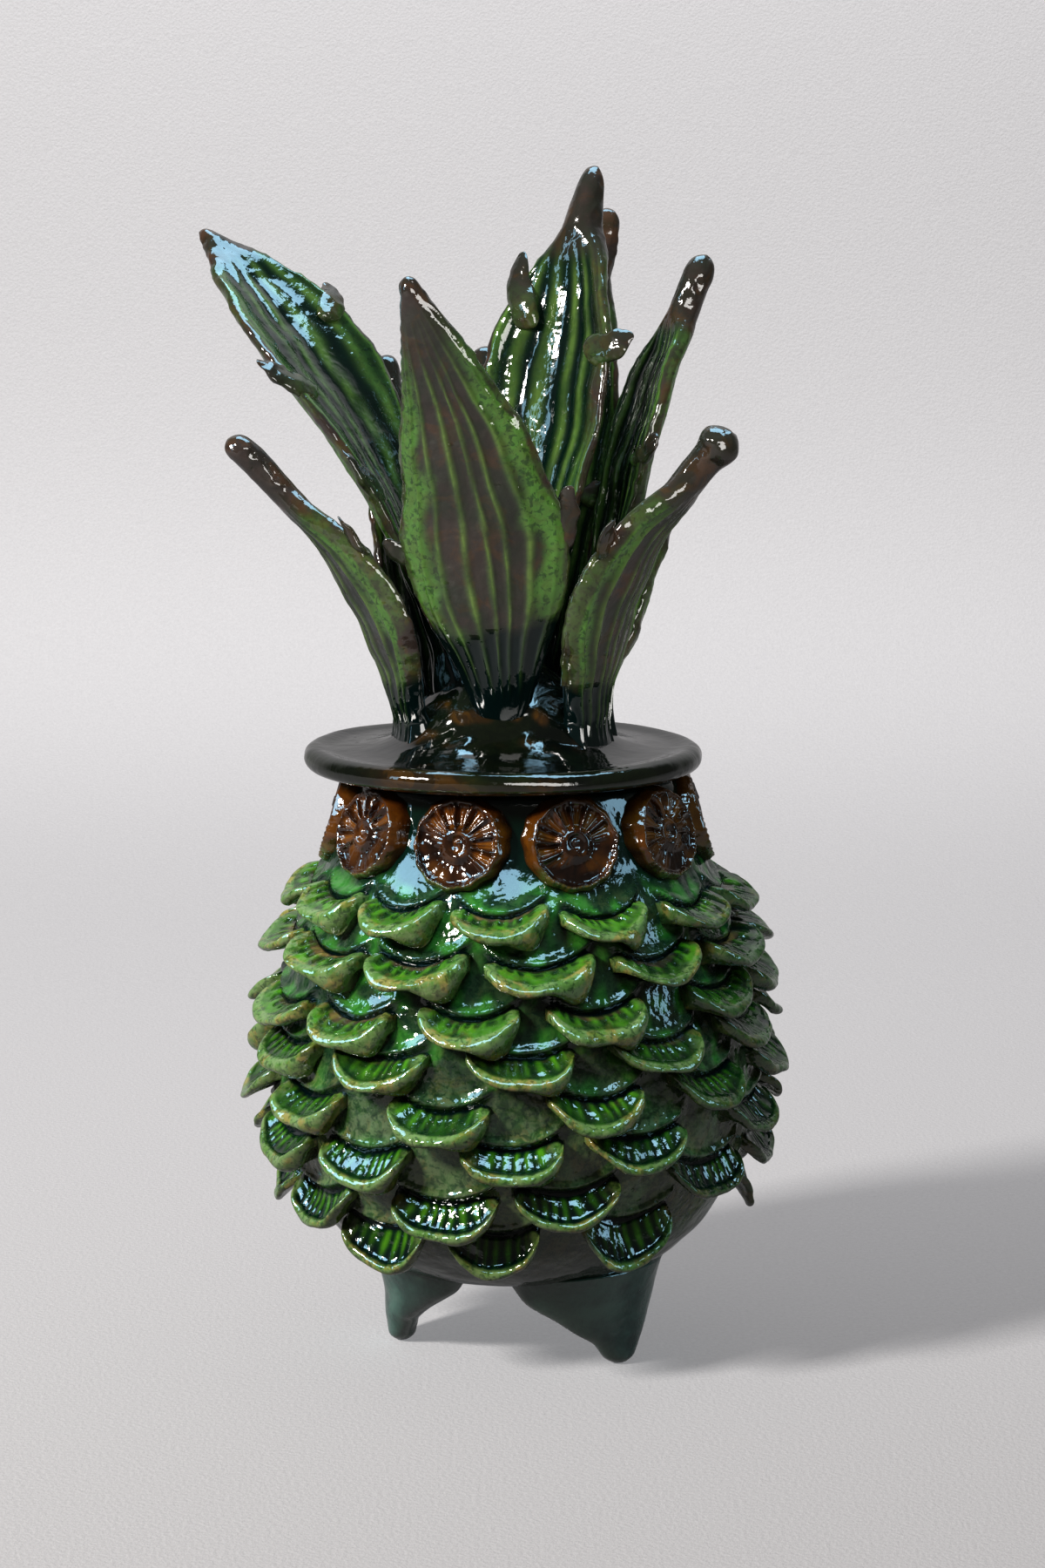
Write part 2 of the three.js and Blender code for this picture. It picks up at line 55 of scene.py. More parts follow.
# camera: a little above the lid, tilted down from level
camera = {"place": (0.00935, -1.17318, 0.35994), "tilt": 81, "lens": 90, "sensor": 36}
cameraData = bpy.data.cameras.new("camera")
cameraData.lens = camera["lens"]
cameraData.sensor_width = camera["sensor"]
cameraObject = shown("camera", cameraData)
cameraObject.location = camera["place"]
cameraObject.rotation_euler = (math.radians(camera["tilt"]), 0, 0)
scene.camera = cameraObject
print("camera placed")


# numbers and points
def mix(low, high, share):
    return low + (high - low) * share


def ease(value, low, high):
    # 0 below low, 1 above high, and 3t^2 - 2t^3 between them
    t = np.clip((value - low) / (high - low), 0, 1)
    return t * t * (3 - 2 * t)


def band(value, rise, full, fall, end):
    # eases up from rise to full and down again from fall to end
    return ease(value, rise, full) * (1 - ease(value, fall, end))


def bell(value, middle, width):
    return np.exp(-(((value - middle) / width) ** 2))


def roundAxis(azimuth, radius, z):
    # azimuth in degrees, distance from the axis and height, to x, y, z
    angle = np.radians(azimuth)
    return np.stack(np.broadcast_arrays(radius * np.sin(angle), -radius * np.cos(angle), z), -1)


def lumps(points, size, seed, waves=7):
    # a sum of sines that run in random directions, each about size long; mostly between -1 and 1
    rng = np.random.default_rng(seed)
    ways = rng.normal(size=(waves, 3))
    ways /= np.linalg.norm(ways, axis=1, keepdims=True)
    ways *= 2 * np.pi / (size * rng.uniform(0.7, 1.5, (waves, 1)))
    return np.sin(points @ ways.T + rng.uniform(0, 2 * np.pi, waves)).sum(-1) * 1.5 / waves


def handled(points, size, height, seed):
    # every point pushed by a lump along each axis, as clay is by fingers
    push = [lumps(points, size, seed * 3 + i) for i in range(3)]
    return points + height * np.stack(push, -1)


def around(count, turn=2 * np.pi):
    # even angles round an axis, as one row
    return np.linspace(0, turn, count, endpoint=False)[None, :]


def stepped(line, count):
    # the same line with its points spread evenly along it
    length = np.r_[0, np.cumsum(np.linalg.norm(np.diff(line, axis=0), axis=1))]
    steps = np.linspace(0, length[-1], count)
    return np.stack([np.interp(steps, length, column) for column in line.T], 1), steps[1]


def softPath(corners, count, softness, fine=2400):
    # a polyline stepped evenly, its points averaged with a bell curve about softness wide, and stepped again
    line, step = stepped(np.array(corners, float), fine)
    reach = max(1, int(3 * softness / step))
    weights = np.exp(-0.5 * (np.arange(-reach, reach + 1) * step / softness) ** 2)
    before = 2 * line[0] - line[reach:0:-1]
    after = 2 * line[-1] - line[-2 : -reach - 2 : -1]
    padded = np.concatenate([before, line, after])
    soft = np.stack([np.convolve(column, weights / weights.sum(), "valid") for column in padded.T], 1)
    return stepped(soft, count)[0]


# meshes
def closedShell(points, masks):
    # points[row, column]: each row is a closed loop, and a fan closes the first and the last row
    rows, columns = points.shape[:2]
    here = np.arange(rows * columns).reshape(rows, columns)
    beside = np.roll(here, -1, 1)
    quads = np.stack([here[:-1], beside[:-1], beside[1:], here[1:]], -1).reshape(-1, 4)
    first, last = rows * columns, rows * columns + 1
    fans = np.concatenate([
        np.stack([beside[0], here[0], np.full(columns, first)], -1),
        np.stack([here[-1], beside[-1], np.full(columns, last)], -1),
    ])
    spots = np.concatenate([points.reshape(-1, 3), [points[0].mean(0), points[-1].mean(0)]])
    a, b, c = spots[np.concatenate([quads[:, :3], quads[:, [0, 2, 3]], fans]).T]
    if (a * np.cross(b, c)).sum() < 0:  # the volume is negative: turn the faces to look out
        quads, fans = quads[:, ::-1], fans[:, ::-1]
    values = {}
    for name, mask in masks.items():
        mask = np.broadcast_to(mask, (rows, columns))
        values[name] = np.r_[mask.ravel(), mask[0].mean(), mask[-1].mean()]
    return spots, quads, fans, values


glazeMasks = ("thin", "pool", "brown", "rim")  # what every glaze reads from its piece
receivers = {name: bpy.data.collections.new(name) for name in ("potGlaze", "crownGlaze", "stageOnly")}


def makePiece(name, shells, material, nodes, axisX=potAxisX):
    spots, faces, values, start = [], [], {mask: [] for mask in glazeMasks}, 0
    for points, quads, fans, masks in shells:
        spots.append(points)
        faces += (quads + start).tolist() + (fans + start).tolist()
        for mask in glazeMasks:
            values[mask].append(masks.get(mask, np.zeros(len(points))))
        start += len(points)
    spots = (np.concatenate(spots) + [axisX, 0, 0]) * 0.001
    mesh = bpy.data.meshes.new(name)
    mesh.from_pydata(spots.tolist(), [], faces)
    for mask in glazeMasks:
        layer = mesh.attributes.new(mask, "FLOAT", "POINT")
        layer.data.foreach_set("value", np.clip(np.concatenate(values[mask]), 0, 1).astype(np.float32))
    mesh.shade_smooth()
    mesh.materials.append(material)
    piece = shown(name, mesh)
    receivers["crownGlaze" if name.startswith(("leaf", "lid")) else "potGlaze"].objects.link(piece)
    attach(piece, "root")
    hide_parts(*nodes)
    print(name, len(faces), "faces")


# glaze
class Wiring:
    # short ways to add nodes to one tree; all but node return the output socket
    def __init__(self, tree):
        self.tree = tree

    def node(self, kind):
        return self.tree.nodes.new("ShaderNode" + kind)

    def feed(self, socket, value):
        if isinstance(value, bpy.types.NodeSocket):
            self.tree.links.new(value, socket)
        else:
            socket.default_value = value

    def math(self, operation, a, b, clamp=False):
        node = self.node("Math")
        node.operation = operation
        node.use_clamp = clamp
        self.feed(node.inputs[0], a)
        self.feed(node.inputs[1], b)
        return node.outputs[0]

    def times(self, a, b, clamp=False):
        return self.math("MULTIPLY", a, b, clamp)

    def plus(self, a, b):
        return self.math("ADD", a, b)

    def minus(self, a, b):
        return self.math("SUBTRACT", a, b)

    def between(self, value, low, high):
        node = self.node("MapRange")
        node.interpolation_type = "SMOOTHSTEP"
        self.feed(node.inputs["Value"], value)
        node.inputs["From Min"].default_value = low
        node.inputs["From Max"].default_value = high
        return node.outputs["Result"]

    def blend(self, share, a, b, kind="MIX"):
        node = self.node("Mix")
        node.data_type = "RGBA"
        node.blend_type = kind
        self.feed(node.inputs[0], share)
        self.feed(node.inputs[6], a)  # 6, 7 and the third output are the colour ones
        self.feed(node.inputs[7], b)
        return node.outputs[2]

    def noise(self, vector, scale, detail=3.0, rough=0.5, warp=0.0):
        node = self.node("TexNoise")
        self.feed(node.inputs["Vector"], vector)
        self.feed(node.inputs["Scale"], scale)
        node.inputs["Detail"].default_value = detail
        node.inputs["Roughness"].default_value = rough
        node.inputs["Distortion"].default_value = warp
        return node.outputs["Fac"]

    def cells(self, vector, scale):
        node = self.node("TexVoronoi")
        self.feed(node.inputs["Vector"], vector)
        self.feed(node.inputs["Scale"], scale)
        return node.outputs["Distance"]

    def bump(self, height, distance):
        node = self.node("Bump")
        self.feed(node.inputs["Height"], height)
        node.inputs["Distance"].default_value = distance
        return node.outputs["Normal"]


# Thin glaze is bright over ridges and deep glaze is nearly black in hollows; brown is where the clay shows
# through, and rim is the milky glaze of edges.  The deep glaze also carries painted shade on the scales to
# the right, and the brown carries a painted grey reflection on the leaves' outer faces.
glaze = {
    # how many fit in a metre, detail, roughness and warp, and the values between which they fade in
    "patterns": {
        "cloud": (62, 4, 0.55, 0.6, 0.4, 0.68), "mottle": (300, 3, 0.6, 0.6, 0.42, 0.62),
        "grain": (900, 2, 0.6, 0, 0.35, 0.7), "tanSpots": (110, 3, 0.6, 0.8, 0.5, 0.62),
        "specks": (520, 3, 0.65, 0.5, 0.5, 0.62), "holed": (45, 2, 0.5, 0, 0.5, 0.62),
    },
    "waves": (120, 2, 0.5, 0.3), "peel": (420, 2), "pinholes": 210,
    "waveHeight": 1.3, "peelHeight": 0.26, "pinholeDepth": 0.22,  # millimetres
    "smoothPools": 0.75, "roughness": 0.06, "roughnessGrain": 0.05, "colourGrain": 0.3,
}
glazeInputs = {
    "Thin": 0.0, "Pool": 0.0, "Brown": 0.0, "Rim": 0.0, "Cloud": 0.5, "Mottle": 0.5,
    "Clear Colour": (0.03, 0.12, 0.02, 1), "Thin Colour": (0.2, 0.45, 0.03, 1),
    "Deep Colour": (0.002, 0.012, 0.008, 1), "Brown Colour": (0.12, 0.04, 0.01, 1),
    "Rim Colour": (0.2, 0.3, 0.06, 1), "Tan Colour": (0.35, 0.16, 0.03, 1), "Tan": 0.3,
}
glazeGroup = bpy.data.node_groups.new("copperGlaze", "ShaderNodeTree")
for label, value in glazeInputs.items():
    kind = "NodeSocketColor" if isinstance(value, tuple) else "NodeSocketFloat"
    glazeGroup.interface.new_socket(label, in_out="INPUT", socket_type=kind).default_value = value
for label, kind in (("Colour", "Color"), ("Roughness", "Float"), ("Height", "Float")):
    glazeGroup.interface.new_socket(label, in_out="OUTPUT", socket_type="NodeSocket" + kind)
given = glazeGroup.nodes.new("NodeGroupInput").outputs
made = glazeGroup.nodes.new("NodeGroupOutput").inputs
wire = Wiring(glazeGroup)
place = wire.node("TexCoord").outputs["Object"]
cloud, mottle, grain, tanSpots, specks, holed = (
    wire.between(wire.noise(place, *numbers[:4]), *numbers[4:]) for numbers in glaze["patterns"].values()
)
colour = wire.blend(wire.times(cloud, given["Cloud"]), given["Clear Colour"], given["Deep Colour"])
thinShare = wire.times(given["Thin"], wire.plus(wire.times(mottle, 0.55), 0.55), True)
colour = wire.blend(thinShare, colour, given["Thin Colour"])
rimColour = wire.blend(wire.times(tanSpots, given["Tan"]), given["Rim Colour"], given["Tan Colour"])
rimColour = wire.blend(wire.times(mottle, 0.35), rimColour, given["Thin Colour"])
rimColour = wire.blend(wire.times(specks, 0.6), rimColour, given["Clear Colour"])
colour = wire.blend(given["Rim"], colour, rimColour)
colour = wire.blend(wire.times(mottle, given["Mottle"]), colour, given["Deep Colour"])
brownShare = wire.times(given["Brown"], wire.plus(wire.times(cloud, 0.5), 0.6), True)
brownColour = wire.blend(wire.times(tanSpots, 0.6), given["Brown Colour"], given["Tan Colour"])
colour = wire.blend(brownShare, colour, brownColour)
colour = wire.blend(given["Pool"], colour, given["Deep Colour"])
colour = wire.blend(wire.times(grain, glaze["colourGrain"]), colour, (0.5, 0.5, 0.5, 1), "OVERLAY")
wire.feed(made["Colour"], colour)
wire.feed(made["Roughness"], wire.plus(wire.times(grain, glaze["roughnessGrain"]), glaze["roughness"]))
# height: slow waves of run glaze, fine orange peel, and pinholes in a few patches
waves = wire.times(wire.noise(place, *glaze["waves"]), glaze["waveHeight"])
peel = wire.times(wire.noise(place, *glaze["peel"]), glaze["peelHeight"])
hole = wire.times(wire.between(wire.cells(place, glaze["pinholes"]), 0.16, 0.05), holed)
height = wire.minus(wire.plus(waves, peel), wire.times(hole, glaze["pinholeDepth"]))
smoother = wire.minus(1.0, wire.times(given["Pool"], glaze["smoothPools"]))
wire.feed(made["Height"], wire.times(height, smoother))


def makeGlaze(name, colours, amounts, relief=1.0, index=1.75):
    # one glaze: the shared group with its own colours and amounts, in a glassy shader
    material = bpy.data.materials.new(name)
    material.use_nodes = True
    wire = Wiring(material.node_tree)
    shader = material.node_tree.nodes["Principled BSDF"]
    group = wire.node("Group")
    group.node_tree = glazeGroup
    for label, value in colours.items():
        group.inputs[label + " Colour"].default_value = (*value, 1)
    for label, value in amounts.items():
        group.inputs[label].default_value = value
    for mask in glazeMasks:
        reader = wire.node("Attribute")
        reader.attribute_name = mask
        wire.feed(group.inputs[mask.capitalize()], reader.outputs["Fac"])
    wire.feed(shader.inputs["Normal"], wire.bump(group.outputs["Height"], 0.001 * relief))
    wire.feed(shader.inputs["Base Color"], group.outputs["Colour"])
    wire.feed(shader.inputs["Roughness"], group.outputs["Roughness"])
    shader.inputs["IOR"].default_value = index
    return material


wallGlaze = makeGlaze("wallGlaze", {
    "Clear": (0.006, 0.036, 0.012), "Thin": (0.07, 0.34, 0.03), "Deep": (0.002, 0.014, 0.01),
    "Rim": (0.19, 0.25, 0.11), "Brown": (0.03, 0.018, 0.008),
}, {"Cloud": 0.5, "Mottle": 0.6, "Tan": 0.3}, index=1.65)
# the brown is set lighter than bare clay: partly the clay of the hollows, partly painted light in their shade
scaleGlaze = makeGlaze("scaleGlaze", {
    "Clear": (0.002, 0.03, 0.005), "Thin": (0.12, 0.35, 0.012), "Deep": (0.001, 0.007, 0.008),
    "Rim": (0.2, 0.26, 0.085), "Brown": (0.16, 0.085, 0.05), "Tan": (0.42, 0.24, 0.06),
}, {"Cloud": 0.4, "Mottle": 0.3, "Tan": 0.6})
# the feet's colours are set far lighter than the glaze: painted light standing in for the floor's bounce and a
# grey-teal sheen of sky on the shaded feet
paintedLightFootGlaze = makeGlaze("paintedLightFootGlaze", {
    "Clear": (0.07, 0.15, 0.11), "Thin": (0.15, 0.28, 0.2), "Deep": (0.015, 0.04, 0.033),
}, {"Cloud": 0.7, "Mottle": 0.2}, relief=0.35)
rosetteGlaze = makeGlaze("rosetteGlaze", {
    "Clear": (0.07, 0.02, 0.005), "Thin": (0.28, 0.09, 0.008), "Deep": (0.004, 0.003, 0.003),
    "Rim": (0.09, 0.15, 0.03), "Brown": (0.018, 0.008, 0.005), "Tan": (0.3, 0.09, 0.01),
}, {"Cloud": 0.5, "Mottle": 0.3, "Tan": 0.3})
lidGlaze = makeGlaze("lidGlaze", {
    "Clear": (0.007, 0.011, 0.005), "Thin": (0.025, 0.045, 0.01), "Deep": (0.0015, 0.003, 0.003),
    "Brown": (0.05, 0.024, 0.008), "Tan": (0.16, 0.07, 0.01),
}, {"Cloud": 0.8, "Mottle": 0.3}, relief=0.3)
# its brown is greyish, as it also paints a grey reflection over the leaves' outer faces
leafGlaze = makeGlaze("leafGlaze", {
    "Clear": (0.005, 0.026, 0.012), "Thin": (0.23, 0.38, 0.08), "Deep": (0.001, 0.008, 0.008),
    "Rim": (0.1, 0.24, 0.045), "Brown": (0.055, 0.041, 0.035), "Tan": (0.1, 0.05, 0.025),
}, {"Cloud": 0.6, "Mottle": 0.35, "Tan": 0.15}, relief=0.7)
print("glazes mixed")

# pot: a hollow wall of revolution
pot = {
    "wall": [
        (0, 26), (30, 26), (40, 28.2), (49.5, 33), (58.6, 42), (67, 56.4), (71.8, 68), (74.2, 80.5),
        (74.4, 93), (72.8, 107), (69.8, 119), (65.8, 132), (61.2, 146), (56.2, 154), (51.4, 165), (49, 174),
    ],  # outside, radius and height
    "mouthZ": 179, "mouthRadius": 49, "lip": 1.4, "thickness": 5.6, "floor": 6.5,
    "insideRows": 50, "outsideRows": 240, "columns": 330, "steps": 1200, "softness": 3.0,
    "fingerMarks": 0.6, "lipOver": 1.7,  # heights; the lip is over each scale's root
    "neckZ": (148, 158), "footZ": (38, 62),  # where the dark neck and bottom begin and end
}
hub = 0.02  # radius of the loop that a fan closes on an axis
sideLine = softPath(pot["wall"][3:] + [(49, 184)], 400, 4.0)


def wallRadius(z):
    # radius of the outside at a height above the round of the bottom
    return np.interp(z, sideLine[:, 1], sideLine[:, 0])


# scales: curled tongues of clay, in rows from the top
scales = {
    # rimZ is in front and climbs to the right, droop is in degrees, half is the half width, count is all the
    # places, front has the azimuths of those in front, and bare the empty ones
    "columns": ("rimZ", "climb", "droop", "length", "half", "count", "front", "bare"),
    "rows": [
        (140.4, -0.5, 12, 12, 14.6, 13, [-58, -32, -4, 24, 54], []),
        (126.8, 0.5, 12, 12.2, 16.2, 12, [-54, -25, 6, 37], []),
        (111.2, 4.0, 20, 12.2, 16.2, 12, [-41, -11, 19, 57], []),
        (98, 4.2, 33, 12.2, 16.4, 11, [-63, -32, 1, 34, 66], []),
        (83.8, 4.6, 34, 12.2, 16.4, 11, [-53, -17, 18, 48], []),
        (69, 5.0, 43, 12.2, 16.4, 11, [-66, -36, -1, 28, 66], []),
        (52.5, 6.5, 56, 12.2, 16.2, 11, [-56, -17, 12, 50], []),
        (38.5, 4.5, 68, 13.8, 15.2, 12, [-66, -37, -6, 29, 62], [0, 4, 7, 11]),
    ],
    # a pair is for the level upper rows and for the hanging lower ones
    "edge": 3.6, "root": 5.0, "horn": 4.2, "hornThick": 2.4, "smile": 5.4, "blunt": 4.8,
    "dish": (0.7, 1.2), "thick": (5.0, 2.6), "roll": (1.9, 0.3), "flank": (8.5, 3.4), "ribHeight": (0.32, 0.112),
    "ribs": 9, "unevenWidth": 0.05, "unevenTurn": 0.08, "unevenLift": 0.6, "gapShare": 0.47,
    "out": (-2.2, 1.2), "sunk": 1.8,  # the face starts inside the wall, and the horns end inside it
    "across": 61, "face": 24, "nose": 9, "under": 8,
}
hand = {"state": 41, "factor": 16807, "modulus": 2147483647}  # the stream that set out the solid scales


def nextUneven():
    hand["state"] = hand["state"] * hand["factor"] % hand["modulus"]
    return hand["state"] / hand["modulus"] * 2 - 1


def setOut(row):
    # where the scales sit; lean is the way one was pressed up and brown how bare its hollow is; the last value
    # is painted shade, which darkens the scales on the right, away from the lamp
    front, count = row["front"], row["count"]
    gap = (front[0] + 360 - front[-1]) / (count - len(front) + 1)
    azimuths = front + [front[-1] + gap * (i + 1) for i in range(count - len(front))]
    placed = []
    for k, azimuth in enumerate(azimuths):
        before = azimuth - (azimuths[k - 1] - (360 if k == 0 else 0))
        after = azimuths[(k + 1) % count] + (360 if k == count - 1 else 0) - azimuth
        width = row["half"] * (1 + nextUneven() * scales["unevenWidth"])
        tilt = nextUneven() * scales["unevenTurn"]
        lift = nextUneven() * scales["unevenLift"]
        rimZ = row["rimZ"] + row["climb"] * math.sin(math.radians(azimuth)) + lift
        rootZ = rimZ + 0.8 * scales["edge"] + row["length"] * math.sin(math.radians(row["droop"]))
        halfAngle = math.degrees(width / (wallRadius(rootZ) + 4))
        if k in row["bare"]:
            continue
        shy = math.sin(azimuth * 1.7 + rimZ)  # differs from scale to scale
        placed.append({
            "azimuth": azimuth, "rootZ": rootZ, "tilt": tilt * width,
            "halfAngle": min(halfAngle, scales["gapShare"] * min(before, after)),
            "lean": mix(1.0, -0.5, ease(azimuth, 22, 55)) if abs(azimuth) < 90 else shy,
            "brown": ease(rimZ, 70, 120) * (0.65 + 0.35 * shy),
            "paintedShade": band(azimuth, 26, 52, 110, 150),
        })
    return placed


def scaleShell(row, spot, seed):
    # share runs from horn to horn, and the section down the hollow face, round the rolled rim and back under
    # it, with both ends sunk in the wall.  The face is a trough, deepest near the root on a level scale and
    # near the rim on a hanging one, less a cosine of the share: ridges that fan out from the root.
    rng = np.random.default_rng(seed)
    share = np.sin(np.linspace(-1, 1, scales["across"]) * 1.3)[:, None] / math.sin(1.3) * 1.03
    size = np.clip(np.abs(share), 0, 1)
    droop = math.radians(row["droop"])
    steep = ease(row["droop"], 14, 60)  # 0 for the level upper rows, 1 for the hanging lower ones
    reach = row["length"] * (1 + 0.07 * rng.uniform(-1, 1)) * np.sqrt(1 - size ** mix(4.0, 4.4, steep))
    reach *= 1 + 0.06 * np.sin(share * 3.4 + rng.uniform(0, 6))
    blunt = scales["blunt"] * (1 - np.sqrt(1 - np.clip((size - 0.7) / 0.3, 0, 0.98) ** 2))  # rounds the horns
    z = spot["rootZ"] + scales["smile"] * share**2 + spot["tilt"] * share - blunt
    wall = wallRadius(z)
    hornThick = mix(scales["horn"], scales["hornThick"], steep)
    thick = mix(mix(*scales["thick"], steep) * (1 + 0.12 * rng.uniform(-1, 1)), hornThick, size**4)
    thick *= 1 + 0.12 * np.sin(share * 5 + rng.uniform(0, 6))
    roll = mix(*scales["roll"], steep) * (1 - size**4)  # the face of a level scale rolls down to its rim
    pressed = band(share * spot["lean"], 0.0, 0.7, 0.72, 1.02) * abs(spot["lean"]) * mix(*scales["flank"], steep)
    tall = thick - roll + 0.75 * pressed  # taller where the scale was pressed up
    q = np.linspace(0, 1, scales["face"])[None, :]
    # the hollow face and its ridges
    ribs = scales["ribs"] + rng.uniform(-1, 1)
    fan = share * mix(1.1, 0.94, q) + rng.uniform(-0.16, 0.16) * q
    fan += 0.05 * np.sin(share * 6 + rng.uniform(0, 6))
    wave = 0.5 + 0.5 * np.cos(np.pi * ribs * fan + rng.uniform(0, 6))
    strength = 1 - 0.6 * ease(np.sin(share * 2.2 + rng.uniform(0, 6)), 0.2, 1)
    span = band(q, mix(0.3, 0.03, steep), mix(0.45, 0.16, steep), 0.66, 0.9)
    span = span * ease(1 - size, 0.02, 0.2) * strength
    dish, lowDish = scales["dish"]
    trough = mix(dish * band(q, -0.1, 0.25, 0.3, 0.88), lowDish * band(q, -0.1, 0.6, 0.8, 0.97), steep)
    trough = trough * (reach / row["length"]) ** 0.5
    inside, outside = scales["out"]
    faceOut = mix(inside, reach + outside - thick / 2, q)
    ridges = mix(*scales["ribHeight"], steep) * (wave - 0.5) * span
    faceIn = 0.9 - 0.6 * q + trough + roll * ease(q, 0.4, 1.05) - ridges
    # the rolled rim: a half circle in the section
    angle = np.linspace(math.pi / 2, -math.pi / 2, scales["nose"] + 2)[None, 1:-1]
    noseOut = reach + outside - thick / 2 + thick / 2 * np.cos(angle) * 1.05
    noseIn = faceIn[:, -1:] + tall / 2 * (1 - np.sin(angle))
    # outwards and downwards along the droop, to radius and height
    out = np.concatenate([faceOut, noseOut], 1)
    below = np.concatenate([faceIn, noseIn], 1)
    radius = wall + out * math.cos(droop) - below * math.sin(droop)
    level = z - out * math.sin(droop) - below * math.cos(droop)
    # back under the rim to the wall
    low = z - mix(scales["root"], scales["horn"] + 0.8, size**4) - pressed + 0.8 * blunt
    p = np.linspace(0, 1, scales["under"] + 1)[None, 1:]
    bulge = (0.7 + 0.12 * pressed) * np.sin(np.pi * p)
    radius = np.concatenate([radius, mix(radius[:, -1:], wallRadius(low) - 2, p) + bulge], 1)
    level = np.concatenate([level, mix(level[:, -1:], low, p)], 1)
    radius = mix(radius, np.minimum(radius, wall - scales["sunk"]), ease(np.abs(share), 0.965, 1.03))
    points = roundAxis(spot["azimuth"] + spot["halfAngle"] * share, radius, level)
    points = handled(points, 12, 0.4, seed)
    points = handled(points, 4.5, 0.12, seed + 7)
    # where the glaze is thin, deep, milky or missing: the face, the rim and what is under it
    rimFrom, rimTo = scales["face"], scales["face"] + scales["nose"]
    face, nose, under = np.s_[:, :rimFrom], np.s_[:, rimFrom:rimTo], np.s_[:, rimTo:]
    thin, pool, rim, brown = (np.zeros_like(radius) for _ in range(4))
    cloudy = lumps(points[face], 16, seed + 2)
    fine = lumps(points[face], 6, seed + 3)
    hollow = 0.37 + 0.12 * ease(spot["brown"], 0.35, 0.9) + 0.03 * cloudy  # how far the brown hollow comes out
    ledge = (1 - steep) ** 2 * ease(q, hollow + 0.04, hollow + 0.16)
    stripes = wave ** mix(2.4, 1.8, steep) * span * 1.15
    uneven = 1 - mix(0.45, 0.25, steep) * ease(lumps(points[face], 8, seed + 6), -0.4, 0.5)
    # painted shade on the scales to the right: less bright glaze, more deep colour
    paintedShade = spot["paintedShade"] * ease(cloudy, -0.7, 0.3)
    thin[face] = np.maximum(stripes, 0.95 * ledge * ease(fine, -0.5, 0.3)) * uneven * (1 - 0.7 * paintedShade)
    rootLine = 1 - ease(faceOut, mix(1.6, 2.0, steep), mix(2.6, 3.4, steep))
    dashes = (1 - steep) * ease(q, hollow + 0.06, hollow + 0.16)
    dashes = dashes * (1 - ease(q + 0.1 * fine, hollow + 0.2, hollow + 0.36)) * ease(1 - wave, 0.3, 0.75)
    dashes = dashes * 0.8 * (1 - ease(size, 0.6, 0.85)) * ease(fine, -0.9, 0.1)
    rimPool = steep * band(q, 0.5, 0.75, 0.88, 0.94) * (1 - ease(size, 0.7, 0.9)) * (1 - 0.5 * wave)
    dark = np.maximum(np.maximum(rimPool * 0.9, dashes), 0.85 * paintedShade * (1 - 0.7 * wave))
    pool[face] = np.maximum(rootLine, dark)
    bare = ease(1 - size + 0.2 * cloudy, 0.3, 0.6) * spot["brown"]
    brown[face] = bare * (1 - ease(q + 0.08 * fine, hollow, hollow + 0.1)) * (1 - rootLine)
    ends = ease(size + 0.15 * cloudy, 0.66, 0.88) * 0.7
    rim[face] = np.maximum(ease(q, 0.88, 0.95), np.maximum(ends, 0.2 * ledge) * (1 - rootLine))
    rim[nose] = mix(1, 0.85, steep)
    # the painted shade also dulls the milky rim
    rim *= 1 - 0.5 * spot["paintedShade"]
    rim[under] = mix(0.75, 0.2, p)
    pool[under] = p**1.5 * 0.8
    stained = ease(lumps(points[:, rimFrom:], 11, seed + 4), -0.4, 0.7)
    brown[:, rimFrom:] = mix(0.3, 0.6, ease(pressed, 1, 5)) * stained * (1 - 0.6 * steep)
    brown[nose] *= ease(-angle, -0.9, 0.9)
    return closedShell(points, {"thin": thin, "pool": pool, "rim": rim, "brown": brown})


wallMarks = []  # all the scales, for the clay and glaze over their roots
for number, values in enumerate(scales["rows"], 1):
    row = dict(zip(scales["columns"], values))
    spots = setOut(row)
    wallMarks += spots
    shells = [scaleShell(row, spot, 100 * number + i) for i, spot in enumerate(spots)]
    makePiece(f"scaleRow{number}", shells, scaleGlaze, ["jar"])


